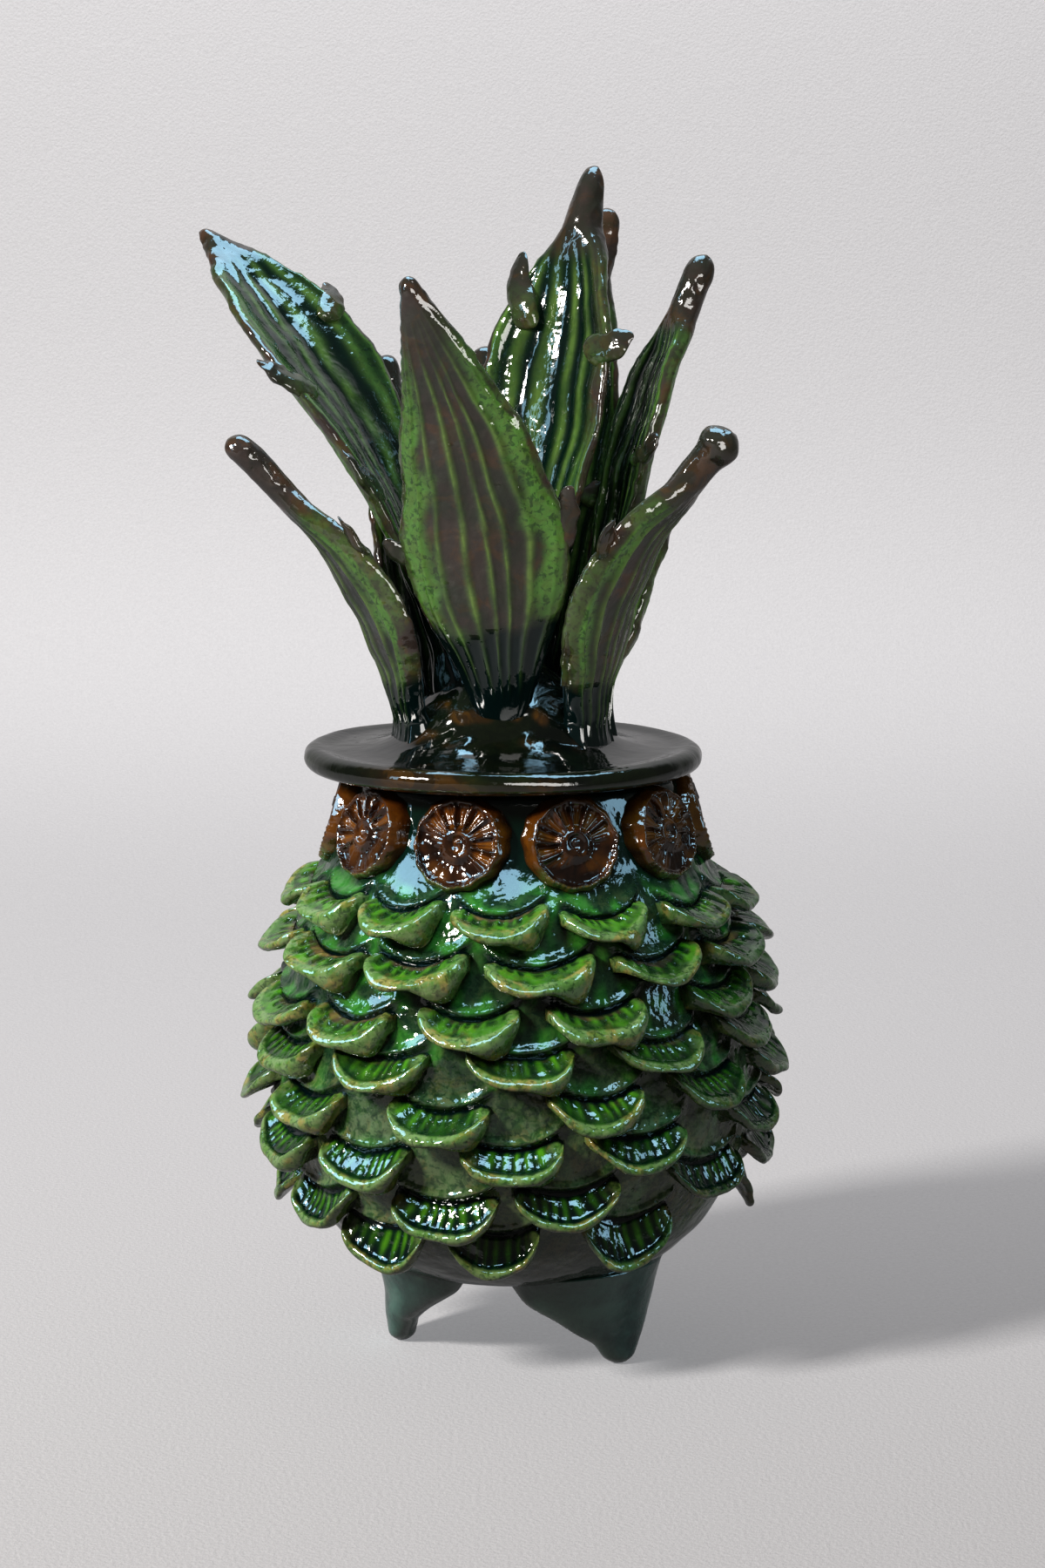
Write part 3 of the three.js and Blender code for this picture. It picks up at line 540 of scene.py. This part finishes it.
def potShell():
    # the profile goes from the floor up inside, over the rim and down outside, where lumps swell it, and a
    # bell curve along the root line of each scale
    rim, lip, thick = pot["mouthRadius"], pot["lip"], pot["thickness"]
    wall = pot["wall"]
    floorZ = wall[0][1] + pot["floor"]
    profile = [(0, floorZ), (wall[2][0] - thick, floorZ)]
    profile += [(radius - thick, z) for radius, z in wall[4:]]
    top = pot["mouthZ"]
    profile += [(rim - thick, top - lip), (rim - thick + lip, top), (rim - lip, top), (rim, top - lip)]
    profile += wall[::-1]
    line = softPath(profile, pot["steps"], pot["softness"])
    brim, last = int(line[:, 1].argmax()), pot["steps"] - 1
    rows = np.r_[np.linspace(0, brim, pot["insideRows"] + 1)[:-1], np.linspace(brim, last, pot["outsideRows"])]
    line = np.stack([np.interp(rows, np.arange(pot["steps"]), column) for column in line.T], 1)
    line[0, 0] = line[-1, 0] = hub
    azimuth = around(pot["columns"], 360)
    radius, z = line[:, :1], line[:, 1:]
    points = roundAxis(azimuth, np.maximum(radius, hub), z)
    outside = np.arange(len(line))[:, None] > pot["insideRows"]
    swell = (lumps(points, 26, 5) + 0.55 * lumps(points, 10, 9)) * pot["fingerMarks"]
    swell *= ease(radius, 5, 20)
    points = roundAxis(azimuth, np.maximum(radius + swell, hub), z)
    pool, lipped = np.zeros(points.shape[:2]), np.zeros(points.shape[:2])
    for spot in wallMarks:
        share = ((azimuth - spot["azimuth"] + 180) % 360 - 180) / spot["halfAngle"]
        offset = z - (spot["rootZ"] + scales["smile"] * share**2 + spot["tilt"] * share)
        inside = 1 - ease(np.abs(share), 0.85, 1.1)
        pool = np.maximum(pool, (1 - ease(offset, -1.2, 0.4)) * inside * (offset > -7))
        lipped = np.maximum(lipped, bell(offset, -0.1, 1.5) * inside)
    points = roundAxis(azimuth, np.maximum(radius + swell + pot["lipOver"] * lipped * outside, hub), z)
    neck = ease(z, *pot["neckZ"]) * outside
    bottom = 1 - ease(z + 5 * lumps(points, 22, 11), *pot["footZ"])
    patches = ease(lumps(points, 9, 8) + 0.5 * lumps(points, 22, 12), -0.1, 0.6)
    masks = {
        "pool": np.maximum(pool, 0.75 * np.maximum(neck, bottom)) * outside,
        "thin": patches * outside * (1 - neck),
        "rim": mix(0.8, 0.15, ease(z, 70, 115)) * outside * (1 - neck),
    }
    return closedShell(points, masks)


makePiece("potWall", [potShell()], wallGlaze, ["jar"])

# feet: three webs that taper to blunt tips
feet = {
    "set": [(54, 38.5), (-92, 35.5), (150, 36.5)],  # azimuth and distance of the tip from the axis
    # height, inward shift of the section's middle, half its radial depth, half its width round the pot
    "sections": [
        (0, 0, 3.0, 3.6), (1.2, 0, 4.0, 5.2), (9, 0.4, 5.6, 12.6),
        (15.5, 2.4, 7.8, 21.5), (22, 4.6, 11, 30), (31, 5, 13.8, 36),
    ],
    "height": 31, "toe": 2.4, "softness": 1.3, "rows": 44, "columns": 72,
}


def footShell(azimuth, tipRadius, seed):
    # ovals stacked from the ground up, by the softened numbers of the sections; an ellipse rounds the toe
    height = np.linspace(0, feet["height"], feet["rows"])[:, None]
    table = softPath(feet["sections"], 300, feet["softness"])
    shift, depth, width = (np.interp(height, table[:, 0], table[:, i]) for i in (1, 2, 3))
    toe = np.sqrt(np.clip(1 - ((feet["toe"] - height) / feet["toe"]).clip(0, 1) ** 2 * 0.62, 0, 1))
    angle = around(feet["columns"])
    middle = tipRadius - shift
    turned = azimuth + np.degrees(width * toe * np.sin(angle) / middle)
    points = roundAxis(turned, middle + depth * toe * np.cos(angle), height + 0 * angle)
    lifted = ease(points[..., 2], 1.5, 8)[..., None]
    points = mix(points, handled(points, 14, 0.4, seed), lifted)
    masks = {
        "thin": ease(lumps(points, 12, seed + 3), 0.3, 0.9) * 0.5,
        "pool": ease(lumps(points, 16, seed + 5), 0.45, 0.6) * 0.6,
    }
    return closedShell(points, masks)


makePiece("feet", [footShell(*one, 30 + i) for i, one in enumerate(feet["set"])], paintedLightFootGlaze, ["jar"])

# rosettes: stamped discs at the shoulder
rosette = {
    "count": 10, "radius": 14, "faceRadius": 56.4, "z": 165, "tilt": 17, "petals": 13, "dent": 1.9, "spoke": 0.75,
    "bedded": 0.6, "sunk": 2.5, "faceRows": 36, "sideRows": 10, "perPetal": 16,
}


def rosetteShell(number):
    # a polar grid.  Height over the disc: a button with a spiral groove, a ring round it, oval dents with a
    # low ridge in each, and a beaded rim; then the side, which ends inside the wall.
    rng = np.random.default_rng(400 + number)
    columns = rosette["petals"] * rosette["perPetal"]
    theta = around(columns)
    rho = np.linspace(0.02, 1, rosette["faceRows"])[:, None]
    petal = rosette["petals"] * theta + rng.uniform(0, 6) + 0.35 * np.sin(theta * 2 + rng.uniform(0, 6))
    spoke = 0.5 + 0.5 * np.cos(petal)  # 1 on the ridge between two dents
    gap = 1 - spoke
    dent = band(rho, 0.3, 0.44, 0.78, 0.9)
    lower = ease(-np.sin(theta + rng.uniform(-0.5, 0.7)) * rho, -0.12, 0.32)  # this half is flooded smooth
    unevenly = 1 + 0.3 * np.sin(theta * 3 + rng.uniform(0, 6)) + 0.2 * np.sin(theta * 5 + rng.uniform(0, 6))
    stamped = dent * (1 - 0.92 * lower)
    height = -0.6 * rosette["dent"] * stamped * ease(gap, 0.04, 0.6) * unevenly - 0.7 * lower * dent
    height += rosette["spoke"] * stamped * bell(gap, 0, 0.07) * unevenly
    height += 0.4 * stamped * bell(gap, 1, 0.12)  # the ridge along a dent
    height += 0.35 * np.cos(theta + rho * 30 + rng.uniform(0, 6)) * (1 - ease(rho, 0.12, 0.26))
    height = height + 0.6 * bell(rho, 0.25, 0.06) * (1 - 0.5 * lower) - 0.4 * bell(rho, 0.1, 0.06)
    beads = 0.5 + 0.5 * np.cos(petal * 3 + 4 * np.sin(theta * 3))
    height += (0.35 + 0.35 * beads * (0.3 + 0.7 * lower)) * bell(rho, 0.92, 0.06)
    height -= 1.3 * ease(rho, 0.93, 1.0)
    scallop = 1 - 0.035 * (1 - spoke) + 0.02 * np.sin(theta * 2 + rng.uniform(0, 6))
    across = rosette["radius"] * rho * mix(1, scallop, ease(rho, 0.6, 1))
    x, y, up = across * np.cos(theta), across * np.sin(theta), height - rosette["bedded"]
    tilt = math.radians(90 - rosette["tilt"])
    face = np.stack([
        x, y * math.cos(tilt) - up * math.sin(tilt) - rosette["faceRadius"],
        y * math.sin(tilt) + up * math.cos(tilt) + rosette["z"],
    ], -1)
    back = face[-1:].copy()
    behind = wallRadius(back[..., 2]) - rosette["sunk"]
    back[..., 1] = -np.sqrt(behind**2 - (back[..., 0] * 1.05) ** 2)
    back[..., 0] *= 1.05
    p = np.linspace(0, 1, rosette["sideRows"] + 1)[1:, None, None]
    side = mix(face[-1:], back, p)
    side[..., 0] += 0.5 * np.cos(theta) * np.sin(np.pi * p[..., 0])
    side[..., 2] += 0.5 * np.sin(theta) * np.sin(np.pi * p[..., 0])
    points = handled(np.concatenate([face, side]), 13, 0.3, 420 + number)
    turn = math.radians(360 / rosette["count"] * (number - 0.5))
    spun = points.copy()
    spun[..., 0] = points[..., 0] * math.cos(turn) - points[..., 1] * math.sin(turn)
    spun[..., 1] = points[..., 0] * math.sin(turn) + points[..., 1] * math.cos(turn)
    one = np.ones((rosette["sideRows"], columns))
    blot = lumps(face, 7, 450 + number)
    lowEdge = ease(-np.sin(theta), 0.35, 0.9)
    thin = stamped * ease(gap, 0.2, 0.9) * unevenly + ease(rho, 0.88, 0.94) * 0.5 + 0.5 * blot * lower
    brown = stamped * spoke**2 + (1 - ease(rho, 0.24, 0.34)) * 0.8
    pool = 0.7 * ease(-blot, -0.3, 0.4) * lower * (1 - ease(rho, 0.86, 0.93))
    masks = {
        "thin": np.concatenate([thin, one * 0.75]),
        "brown": np.concatenate([brown, one * 0.1]),
        "pool": np.concatenate([pool, one * p[..., 0] * 0.6]),
        "rim": np.concatenate([ease(rho, 0.88, 0.96) * lowEdge, one * lowEdge]),
    }
    return closedShell(spun, masks)


for number in range(1, rosette["count"] + 1):
    shell = rosetteShell(number)
    makePiece(f"rosette{number:02d}", [shell], rosetteGlaze, [f"rosette_{number:02d}"])

# lid: a plate with a rolled rim, a flange below and a knob above
lid = {
    "radius": 60.4, "rimZ": 183, "roll": 3.7, "flangeRadius": 39, "flangeThickness": 4.5, "flangeDepth": 8.5,
    "plateTopZ": 186, "underZ": 179.3,
    "knob": [(44, 185.9), (36, 187.2), (30, 191), (26, 197.5), (21, 204), (13, 208.5), (9, 220)],
    "knobSoftness": 3.2, "rows": 210, "columns": 192, "softness": 1.3,
}


def lidShell():
    # the profile goes from the axis below, round the flange and the rolled rim, to the knob's tip
    angle = np.radians(np.linspace(-90, 110, 24))
    middle = lid["radius"] - lid["roll"]
    roll = np.stack([middle + lid["roll"] * np.cos(angle), lid["rimZ"] + lid["roll"] * np.sin(angle)], 1)
    inner = lid["flangeRadius"] - lid["flangeThickness"]
    under, low = lid["underZ"], lid["underZ"] - lid["flangeDepth"]
    profile = [(0, under + 1.5), (inner, under + 1.5), (inner, low), (lid["flangeRadius"], low)]
    profile += [(lid["flangeRadius"], under), (middle - 3, under)] + roll.tolist()
    knob = softPath(lid["knob"], 60, lid["knobSoftness"])  # the plate runs up into the knob in a soft hollow
    profile += [(middle - 5, lid["plateTopZ"] - 0.4)] + knob.tolist() + [(0, lid["knob"][-1][1] + 1)]
    line = softPath(profile, lid["rows"], lid["softness"])
    azimuth = around(lid["columns"], 360)
    radius, z = np.maximum(line[:, :1], hub), line[:, 1:]
    points = roundAxis(azimuth, radius, z)
    above = ease(z, 180.5, 184)
    knobby = lumps(points, 13, 66) * 0.9 + lumps(points, 6, 67) * 0.3
    knobby = knobby * (1 - ease(radius, 30, 42)) * ease(z, 187, 191)
    wobble = lumps(points * [1, 1, 0.3], 60, 61) * 0.5 * ease(radius, 40, 58) * above
    wider = radius + wobble * 0.6 + knobby + lumps(points, 15, 62) * 0.15 * above
    points = roundAxis(azimuth, np.maximum(wider, hub), z + wobble)
    edge = ease(radius, 56, 59)
    edgeBrown = edge * ease(lumps(points, 40, 63), -0.2, 0.5) * 0.8
    knobBrown = ease(z, 187, 192) * ease(lumps(points, 9, 68), 0.1, 0.7) * 0.9
    masks = {
        "brown": edgeBrown + knobBrown,
        "thin": edge * ease(lumps(points, 22, 64), 0.1, 0.8) * 0.5,
        "pool": (1 - edge) * ease(lumps(points, 50, 65), -0.3, 0.6) * 0.7,
    }
    return closedShell(points, masks)


makePiece("lidPlate", [lidShell()], lidGlaze, ["lid"], potAxisX + lidAxisX)

# Crown: ribbed leaves with rolled tips and pinched tongues.  foot and tip are azimuth, distance from the
# lid's axis and height.  width is the widest, at the share peak of the length; cup curls the sides in, bow
# and sway bend the middle inwards and sideways, turn rolls the blade.  finger is the rolled tip's beginning
# and radius; ball swells its end and cone narrows it.  A grey-brown share browns and greys the outside, partly
# brown glaze and partly a painted grey reflection; teal floods the inside and curl browns one side of it.  A
# tongue is a share of the length, the side, its length, width and lean.
leafColumns = ("foot", "tip", "width", "footWidth", "peak", "cup", "bow", "finger", "tongues")
crown = {
    "front": (
        (-1, 25.4, 202), (-27, 59.5, 327), 50, 23, 0.36, 0.18, 3, (0.97, 3.4),
        [(0.36, 1, 24, 9, 0.2), (0.36, -1, 10, 7, 0.8)], {"sway": 4, "roundFoot": True, "smoke": 0.8},
    ),
    "right": (
        (61, 30, 188), (66, 73, 282.5), 40, 18, 0.42, 0.32, 10, (0.84, 4.8),
        [(0.56, -1, 18, 10, 0.5), (0.24, -1, 28, 8, 0.1)], {"ball": 0.28, "smoke": 0.8, "welt": 0.5},
    ),
    "left": (
        (-74, 29, 188), (-76, 82.5, 279.5), 42, 20, 0.4, 0.34, 9, (0.8, 4.2),
        [(0.56, 1, 20, 8, 0.1)], {"smoke": 0.3, "welt": 0.5},
    ),
    "back_left": (
        (-134, 29, 188), (-148, 71, 300), 42, 20, 0.42, 0.3, 2, (0.9, 4.2), [(0.7, 1, 12, 8, 0.5)], {},
    ),
    "back": (
        (165, 29, 188), (152, 70, 345), 36, 17, 0.55, 0.3, 3, (0.88, 4.4),
        [(0.6, 1, 16, 9, 0.4), (0.45, -1, 14, 8, 0.5)], {},
    ),
    "back_right": (
        (135, 31, 188), (122, 62, 260), 27, 13, 0.46, 0.3, 1, (0.84, 4.3), [(0.5, 1, 13, 8, 0.5)], {},
    ),
    "right_tall": (
        (107, 31, 188), (109, 64.7, 331.5), 35, 13, 0.68, 0.2, 8, (0.88, 4.6), [(0.58, -1, 12, 8, 0.5)], {},
    ),
    "high_left": (
        (-98, 16.5, 203), (-120, 107.2, 338.5), 52, 17, 0.66, 0.2, 13, (0.98, 3.2),
        [(0.6, 1, 19, 9, 0.7), (0.76, -1, 16, 9, 0.4), (0.38, 1, 20, 9, 0.2)], {"turn": -25, "teal": 0.7},
    ),
    "high_middle": (
        (140, 12, 208), (142.5, 45.5, 358), 48, 15, 0.58, 0.3, 4, (0.88, 6.2),
        [(0.72, 1, 24, 9, 0.05), (0.5, 1, 22, 10, 0.2), (0.63, -1, 12, 10, 1.1)], {"cone": 0.42, "curl": 0.9},
    ),
    "high_back": (
        (-160, 15, 205), (-174, 57, 302), 26, 12, 0.5, 0.3, 8, (0.84, 4.6), [(0.55, -1, 14, 8, 0.4)], {},
    ),
}
blade = {
    "thickness": 4.6, "footCup": 0.26, "tipFrom": 0.9, "tipEnd": 1.006, "rows": 74, "tipRows": 26,
    "outer": 70, "inner": 54, "outerRibs": 7.5, "outerHeight": 0.7, "innerRibs": 5.5, "innerHeight": 0.24,
    "tongueThickness": 3.6, "tongueRows": 34, "tongueColumns": 32,
}


def unit(v):
    return v / np.linalg.norm(v, axis=-1, keepdims=True)


def leafLine(leaf, t):
    # a quadratic curve from foot to tip, its middle point pushed inwards by bow and sideways by sway
    start, end = roundAxis(*leaf["foot"]), roundAxis(*leaf["tip"])
    chord = end - start
    outward = roundAxis(leaf["tip"][0], 1, 0)
    inward = -unit(outward - chord * (outward @ chord) / (chord @ chord))
    sideways = -unit(np.cross(chord, inward))
    control = (start + end) / 2 + inward * 2 * leaf["bow"] + sideways * 2 * leaf.get("sway", 0)
    t = t[:, None]
    middle = (1 - t) ** 2 * start + 2 * t * (1 - t) * control + t**2 * end
    t = np.clip(t, 0, 1)
    along = unit((1 - t) * (control - start) + t * (end - control))
    between = (leaf["tip"][0] - leaf["foot"][0] + 540) % 360 - 180
    out = roundAxis(leaf["foot"][0] + between * t[:, 0], 1, 0)
    out = unit(out - along * (out * along).sum(-1, keepdims=True))
    side = np.cross(along, out)
    angle = np.radians(leaf.get("turn", 0)) * t
    return middle, along, out * np.cos(angle) + side * np.sin(angle), side * np.cos(angle) - out * np.sin(angle)


def halfWidth(leaf, t):
    # swells as a cosine from the foot to the widest place and narrows from there to the rolled tip
    start, radius = leaf["finger"]
    swelling = (1 - np.cos(np.pi * np.clip(t / leaf["peak"], 0, 1))) / 2
    narrowing = np.clip((t - leaf["peak"]) / (start - leaf["peak"]), 0, 1) ** 1.5
    return mix(mix(leaf["footWidth"], leaf["width"], swelling) / 2, radius, narrowing)


def leafShell(leaf, seed):
    # sections carried along the leaf's line: a flat oval, cupped by the square of the share of the width,
    # with narrow ridges on the outer face, which turns into a round one towards the rolled tip
    rng = np.random.default_rng(seed)
    start, radius = leaf["finger"]
    closing = np.sin(np.linspace(0, np.pi / 2, blade["tipRows"] + 1)[1:])
    t = np.r_[np.linspace(-0.05, blade["tipFrom"], blade["rows"]), mix(blade["tipFrom"], blade["tipEnd"], closing)]
    middle, along, out, side = leafLine(leaf, t)
    t = t[:, None]
    shrink = np.sqrt(1 - np.clip((t - 0.965) / (1.0065 - 0.965), 0, 1) ** 2)
    foot = 1 - ease(t, -0.02, 0.08)
    if leaf.get("roundFoot"):
        shrink = shrink * np.sqrt(1 - np.clip((0.13 - t) / 0.2, 0, 0.97) ** 2)
        foot *= 0
    rolled = ease(t, mix(leaf["peak"], start, 0.5), start)
    flat = 1 - rolled
    ball = bell(t, 0.955, 0.035) * leaf.get("ball", 0)
    half = halfWidth(leaf, t) * shrink * (1 + 0.25 * foot + ball)
    cone = 1 - leaf.get("cone", 0) * ease(t, 0.86, 1.0)
    half = half * cone * (1 + 0.02 * np.sin(t * 31 + rng.uniform(0, 6)) * flat)
    depth = mix(blade["thickness"] / 2, radius, rolled) * shrink * cone * (1 + 1.1 * foot + ball)
    cup = mix(blade["footCup"], leaf["cup"], ease(t, 0, 0.3)) * flat
    power = mix(7, 2, rolled)
    # u runs from edge to edge over the outer face and back over the inner one
    u = np.r_[np.linspace(-1, 1, blade["outer"]), np.linspace(1, -1, blade["inner"] + 2)[1:-1]]
    u = np.sin(u * 1.38)[None, :] / math.sin(1.38)
    isOuter = np.r_[np.ones(blade["outer"]), np.zeros(blade["inner"])][None, :]
    size = np.abs(u)
    full = np.sqrt(np.clip(1 - size**power, 0, 1))
    welt = 1 + leaf.get("welt", 0.25) * ease(size, 0.66, 0.9) * flat  # the edge is thicker than the blade
    waver = 0.03 * np.sin(t * 9 + rng.uniform(0, 6)) + 0.012 * np.sin(t * 27 + rng.uniform(0, 6))
    phase = rng.uniform(0, 6)
    outerWave = np.pi * blade["outerRibs"] * (u + waver + 0.04 * np.sin(u * 7 + phase)) + phase
    innerWave = np.pi * blade["innerRibs"] * (u + 2 * waver + 0.06 * np.sin(u * 5 + phase)) + phase
    outerWave, innerWave = 0.5 + 0.5 * np.cos(outerWave), 0.5 + 0.5 * np.cos(innerWave)
    span = (1 - ease(size, 0.78, 0.92)) * flat * ease(t, 0.0, 0.1)
    ridge = np.where(isOuter, outerWave**5, innerWave**1.5) * span
    teal = leaf.get("teal", 0)
    ribHeight = np.where(isOuter, blade["outerHeight"], blade["innerHeight"] * (1 - 0.8 * teal))
    height = (2 * isOuter - 1) * (depth * full * welt + ribHeight * ridge)
    points = middle[:, None] + side[:, None] * (u * half)[..., None]
    points += out[:, None] * (height - cup * u**2 * half)[..., None]
    points = handled(points, 17, 0.5, seed)
    rough = 0.1 + 0.3 * ease(size, 0.8, 0.97)[..., None]  # at the edge
    points = handled(points, 4, rough, seed + 1)
    # where the glaze is thin, milky, brown or deep
    cloudy = lumps(points, 16, seed + 2)
    broken = 0.45 + 0.55 * ease(lumps(points * [1, 1, 0.5], 7, seed + 5), -0.5, 0.4)
    margin = ease(size + 0.14 * cloudy, 0.5, 0.75) * flat * ease(t, 0.06, 0.3)
    edgeFrom = 0.96 - 0.16 * leaf.get("welt", 0.1) + 0.03 * cloudy
    edge = ease(size, edgeFrom - 0.03, edgeFrom + 0.02) * flat
    line = ease(size, 0.86, 0.91) * (1 - edge) * flat
    # the outer face is browned and greyed away from the foot: partly brown glaze, partly a painted grey reflection
    smoke = leaf.get("smoke", 0.6) * ease(t, 0.12, 0.2)
    brownAndSheenShare = isOuter * (1 - margin) * smoke * (1 - 0.8 * ridge)
    curled = ease(-u, 0.62, 0.74) * ease(t, 0.4, 0.5) * leaf.get("curl", 0) * (1 - isOuter)
    deepFoot = 1 - ease(t + 0.02 * cloudy, 0.165, 0.195)
    furrows = (1 - isOuter) * mix(1 - innerWave, 0.7, teal) * span * 0.8
    streaks = np.maximum(ridge * broken * np.where(isOuter, 0.9, 0.75), line * 0.8)
    masks = {
        "thin": streaks * (1 - 0.5 * deepFoot),
        "rim": np.maximum(margin * np.where(isOuter, 0.95, 0.3), line * 0.4),
        "brown": np.maximum(np.maximum(curled, ease(rolled, 0.45, 0.8)), np.maximum(edge, brownAndSheenShare)),
        "pool": np.maximum(deepFoot, furrows) * (1 - 0.75 * ridge) * flat,
    }
    return closedShell(points, masks)


def tongueShell(leaf, tongue, seed):
    # a flattened pod at the leaf's edge: an oval with its lower half drawn into the blade and its tip bent out
    share, sign, length, width, lean = tongue
    middle, along, out, side = (v[0] for v in leafLine(leaf, np.array([share])))
    half = halfWidth(leaf, np.array([share]))[0]
    axis = unit(along + side * sign * lean)
    centre = middle + side * sign * (half - 1.6 + 2.4 * lean) - out * leaf["cup"] * half + axis * length * 0.16
    flat = unit(np.cross(out, axis))
    through = np.cross(axis, flat)
    phi = np.linspace(0.02, np.pi - 0.02, blade["tongueRows"])[:, None]
    theta = around(blade["tongueColumns"])
    along01 = -np.cos(phi)  # -1 at the root, 1 at the tip
    girth = np.sin(phi) ** 0.7 * (1 - 0.42 * along01)
    a = along01 * length / 2 + 0 * theta
    b = girth * np.cos(theta) * width * 0.52
    c = girth * np.sin(theta) * blade["tongueThickness"] / 2 * (1 - 0.25 * along01)
    rooted = ease(-along01, -0.5, 1.0)
    points = centre + a[..., None] * axis + b[..., None] * flat + c[..., None] * through
    points -= (rooted * width * 0.55)[..., None] * side * sign
    points += (0.8 * along01**2 * (along01 > 0))[..., None] * out
    points = handled(points, 8, 0.6, seed)
    points = handled(points, 3, 0.22, seed + 1)
    masks = {
        "brown": 1 - 0.9 * rooted * ease(lumps(points, 10, seed + 2), -0.3, 0.5),
        "rim": 0.6 * rooted, "thin": 0.35 * ease(lumps(points, 9, seed + 3), 0.2, 0.8),
    }
    return closedShell(points, masks)


for number, (name, values) in enumerate(crown.items()):
    leaf = dict(zip(leafColumns, values), **values[-1])
    shells = [leafShell(leaf, 600 + 20 * number)]
    shells += [tongueShell(leaf, tongue, 610 + 20 * number + i) for i, tongue in enumerate(leaf["tongues"])]
    makePiece(f"leaf_{name}_blade", shells, leafGlaze, [f"leaf_{name}"], potAxisX + lidAxisX)

# floor that sweeps up into a backdrop, in metres
stage = {
    "front": -2.2, "back": 1.1, "bend": 0.5, "top": 2.4, "halfWidth": 3.0, "rows": 160, "columns": 40,
    "dark": (0.57, 0.57, 0.585, 1), "pale": (0.7, 0.7, 0.715, 1), "reflected": (0.02, 0.02, 0.02, 1),
    "dimming": 0.45, "roughness": 0.85, "grain": 700, "grainHeight": 0.0003,
}
stageCorners = [(stage["front"], 0), (stage["back"], 0), (stage["back"] + 0.02, stage["top"])]
stageLine = softPath(stageCorners, stage["rows"], stage["bend"] / 2)
stageLine[:, 1] -= stageLine[:, 1].min()
stageX = np.linspace(-stage["halfWidth"], stage["halfWidth"], stage["columns"])
stageSpots = np.stack(np.broadcast_arrays(stageX, stageLine[:, :1], stageLine[:, 1:]), -1).reshape(-1, 3)
here = np.arange(stage["rows"] * stage["columns"]).reshape(stage["rows"], stage["columns"])
stageFaces = np.stack([here[:-1, :-1], here[:-1, 1:], here[1:, 1:], here[1:, :-1]], -1).reshape(-1, 4)
stageMesh = bpy.data.meshes.new("floorSweep")
stageMesh.from_pydata(stageSpots.tolist(), [], stageFaces.tolist())
stageMesh.shade_smooth()
floorSweep = shown("floorSweep", stageMesh)
floorSweep.visible_diffuse = False  # so that the pale floor does not fill the hollows with light
receivers["stageOnly"].objects.link(floorSweep)
paper = bpy.data.materials.new("palePaper")
paper.use_nodes = True
paperShader = paper.node_tree.nodes["Principled BSDF"]
wire = Wiring(paper.node_tree)
paperGrain = wire.noise(wire.node("TexCoord").outputs["Object"], stage["grain"], 3, 0.6)
paperColour = wire.blend(paperGrain, stage["dark"], stage["pale"])
dimShare = wire.times(wire.node("LightPath").outputs["Is Glossy Ray"], stage["dimming"])  # in reflections
wire.feed(paperShader.inputs["Base Color"], wire.blend(dimShare, paperColour, stage["reflected"]))
paperShader.inputs["Roughness"].default_value = stage["roughness"]
wire.feed(paperShader.inputs["Normal"], wire.bump(paperGrain, stage["grainHeight"]))
stageMesh.materials.append(paper)
print("floor laid")

# Light: a lamp from the left throws the shadow, and pale blue panels give the glaze its highlights.  Place,
# aim, size, watts, colour, and the pieces lit where they are not all.
skyBlue = (0.45, 0.77, 1.0)
lights = {
    "lampLeft": ((-1.5, -1.1, 1.25), (0, 0, 0.12), (0.35, 0.35), 36, (1.0, 0.96, 0.92), None),
    "stageLamp": ((0.1, 0.1, 1.9), (0, 1.15, 1.35), (1.6, 0.6), 34, (0.99, 0.985, 1.0), "stageOnly"),
    "skyLeft": ((-1.1, -0.2, 0.95), (0, 0, 0.2), (0.8, 0.7), 15, skyBlue, "potGlaze"),
    "skyTop": ((0.1, -0.75, 1.35), (0, 0, 0.2), (1.0, 0.5), 13, skyBlue, "potGlaze"),
    "panelRight": ((1.3, -0.3, 0.75), (0, 0, 0.18), (0.3, 0.9), 4, skyBlue, "potGlaze"),
    "crownTop": ((0.1, 0.3, 1.6), (0, 0, 0.27), (1.3, 0.8), 22, skyBlue, "crownGlaze"),
    "crownFill": ((0.5, -1.2, 0.5), (0, 0, 0.27), (0.9, 0.5), 9, (1.0, 0.98, 0.95), "crownGlaze"),
    "crownSide": ((-1.2, -0.6, 0.6), (0, 0, 0.27), (0.15, 0.6), 1.2, skyBlue, "crownGlaze"),
}
for name, (at, aim, size, watts, colour, only) in lights.items():
    lamp = bpy.data.lights.new(name, "AREA")
    lamp.shape = "RECTANGLE"
    lamp.size, lamp.size_y = size
    lamp.energy = watts
    lamp.color = colour
    lampObject = shown(name, lamp)
    lampObject.location = at
    lampObject.rotation_euler = (Vector(aim) - Vector(at)).to_track_quat("-Z", "Y").to_euler()
    lampObject.visible_camera = False
    if only:
        lampObject.light_linking.receiver_collection = receivers[only]
    if only == "stageOnly":  # the jar's shadow comes from the lamp on the left alone
        lampObject.light_linking.blocker_collection = receivers[only]
world = bpy.data.worlds.new("dimRoom")
scene.world = world
world.use_nodes = True
world.node_tree.nodes["Background"].inputs["Color"].default_value = (0.3, 0.28, 0.26, 1)
world.node_tree.nodes["Background"].inputs["Strength"].default_value = 0.25
scene.view_settings.view_transform = "Standard"
scene.view_settings.look = "Medium High Contrast"
print("lights set")
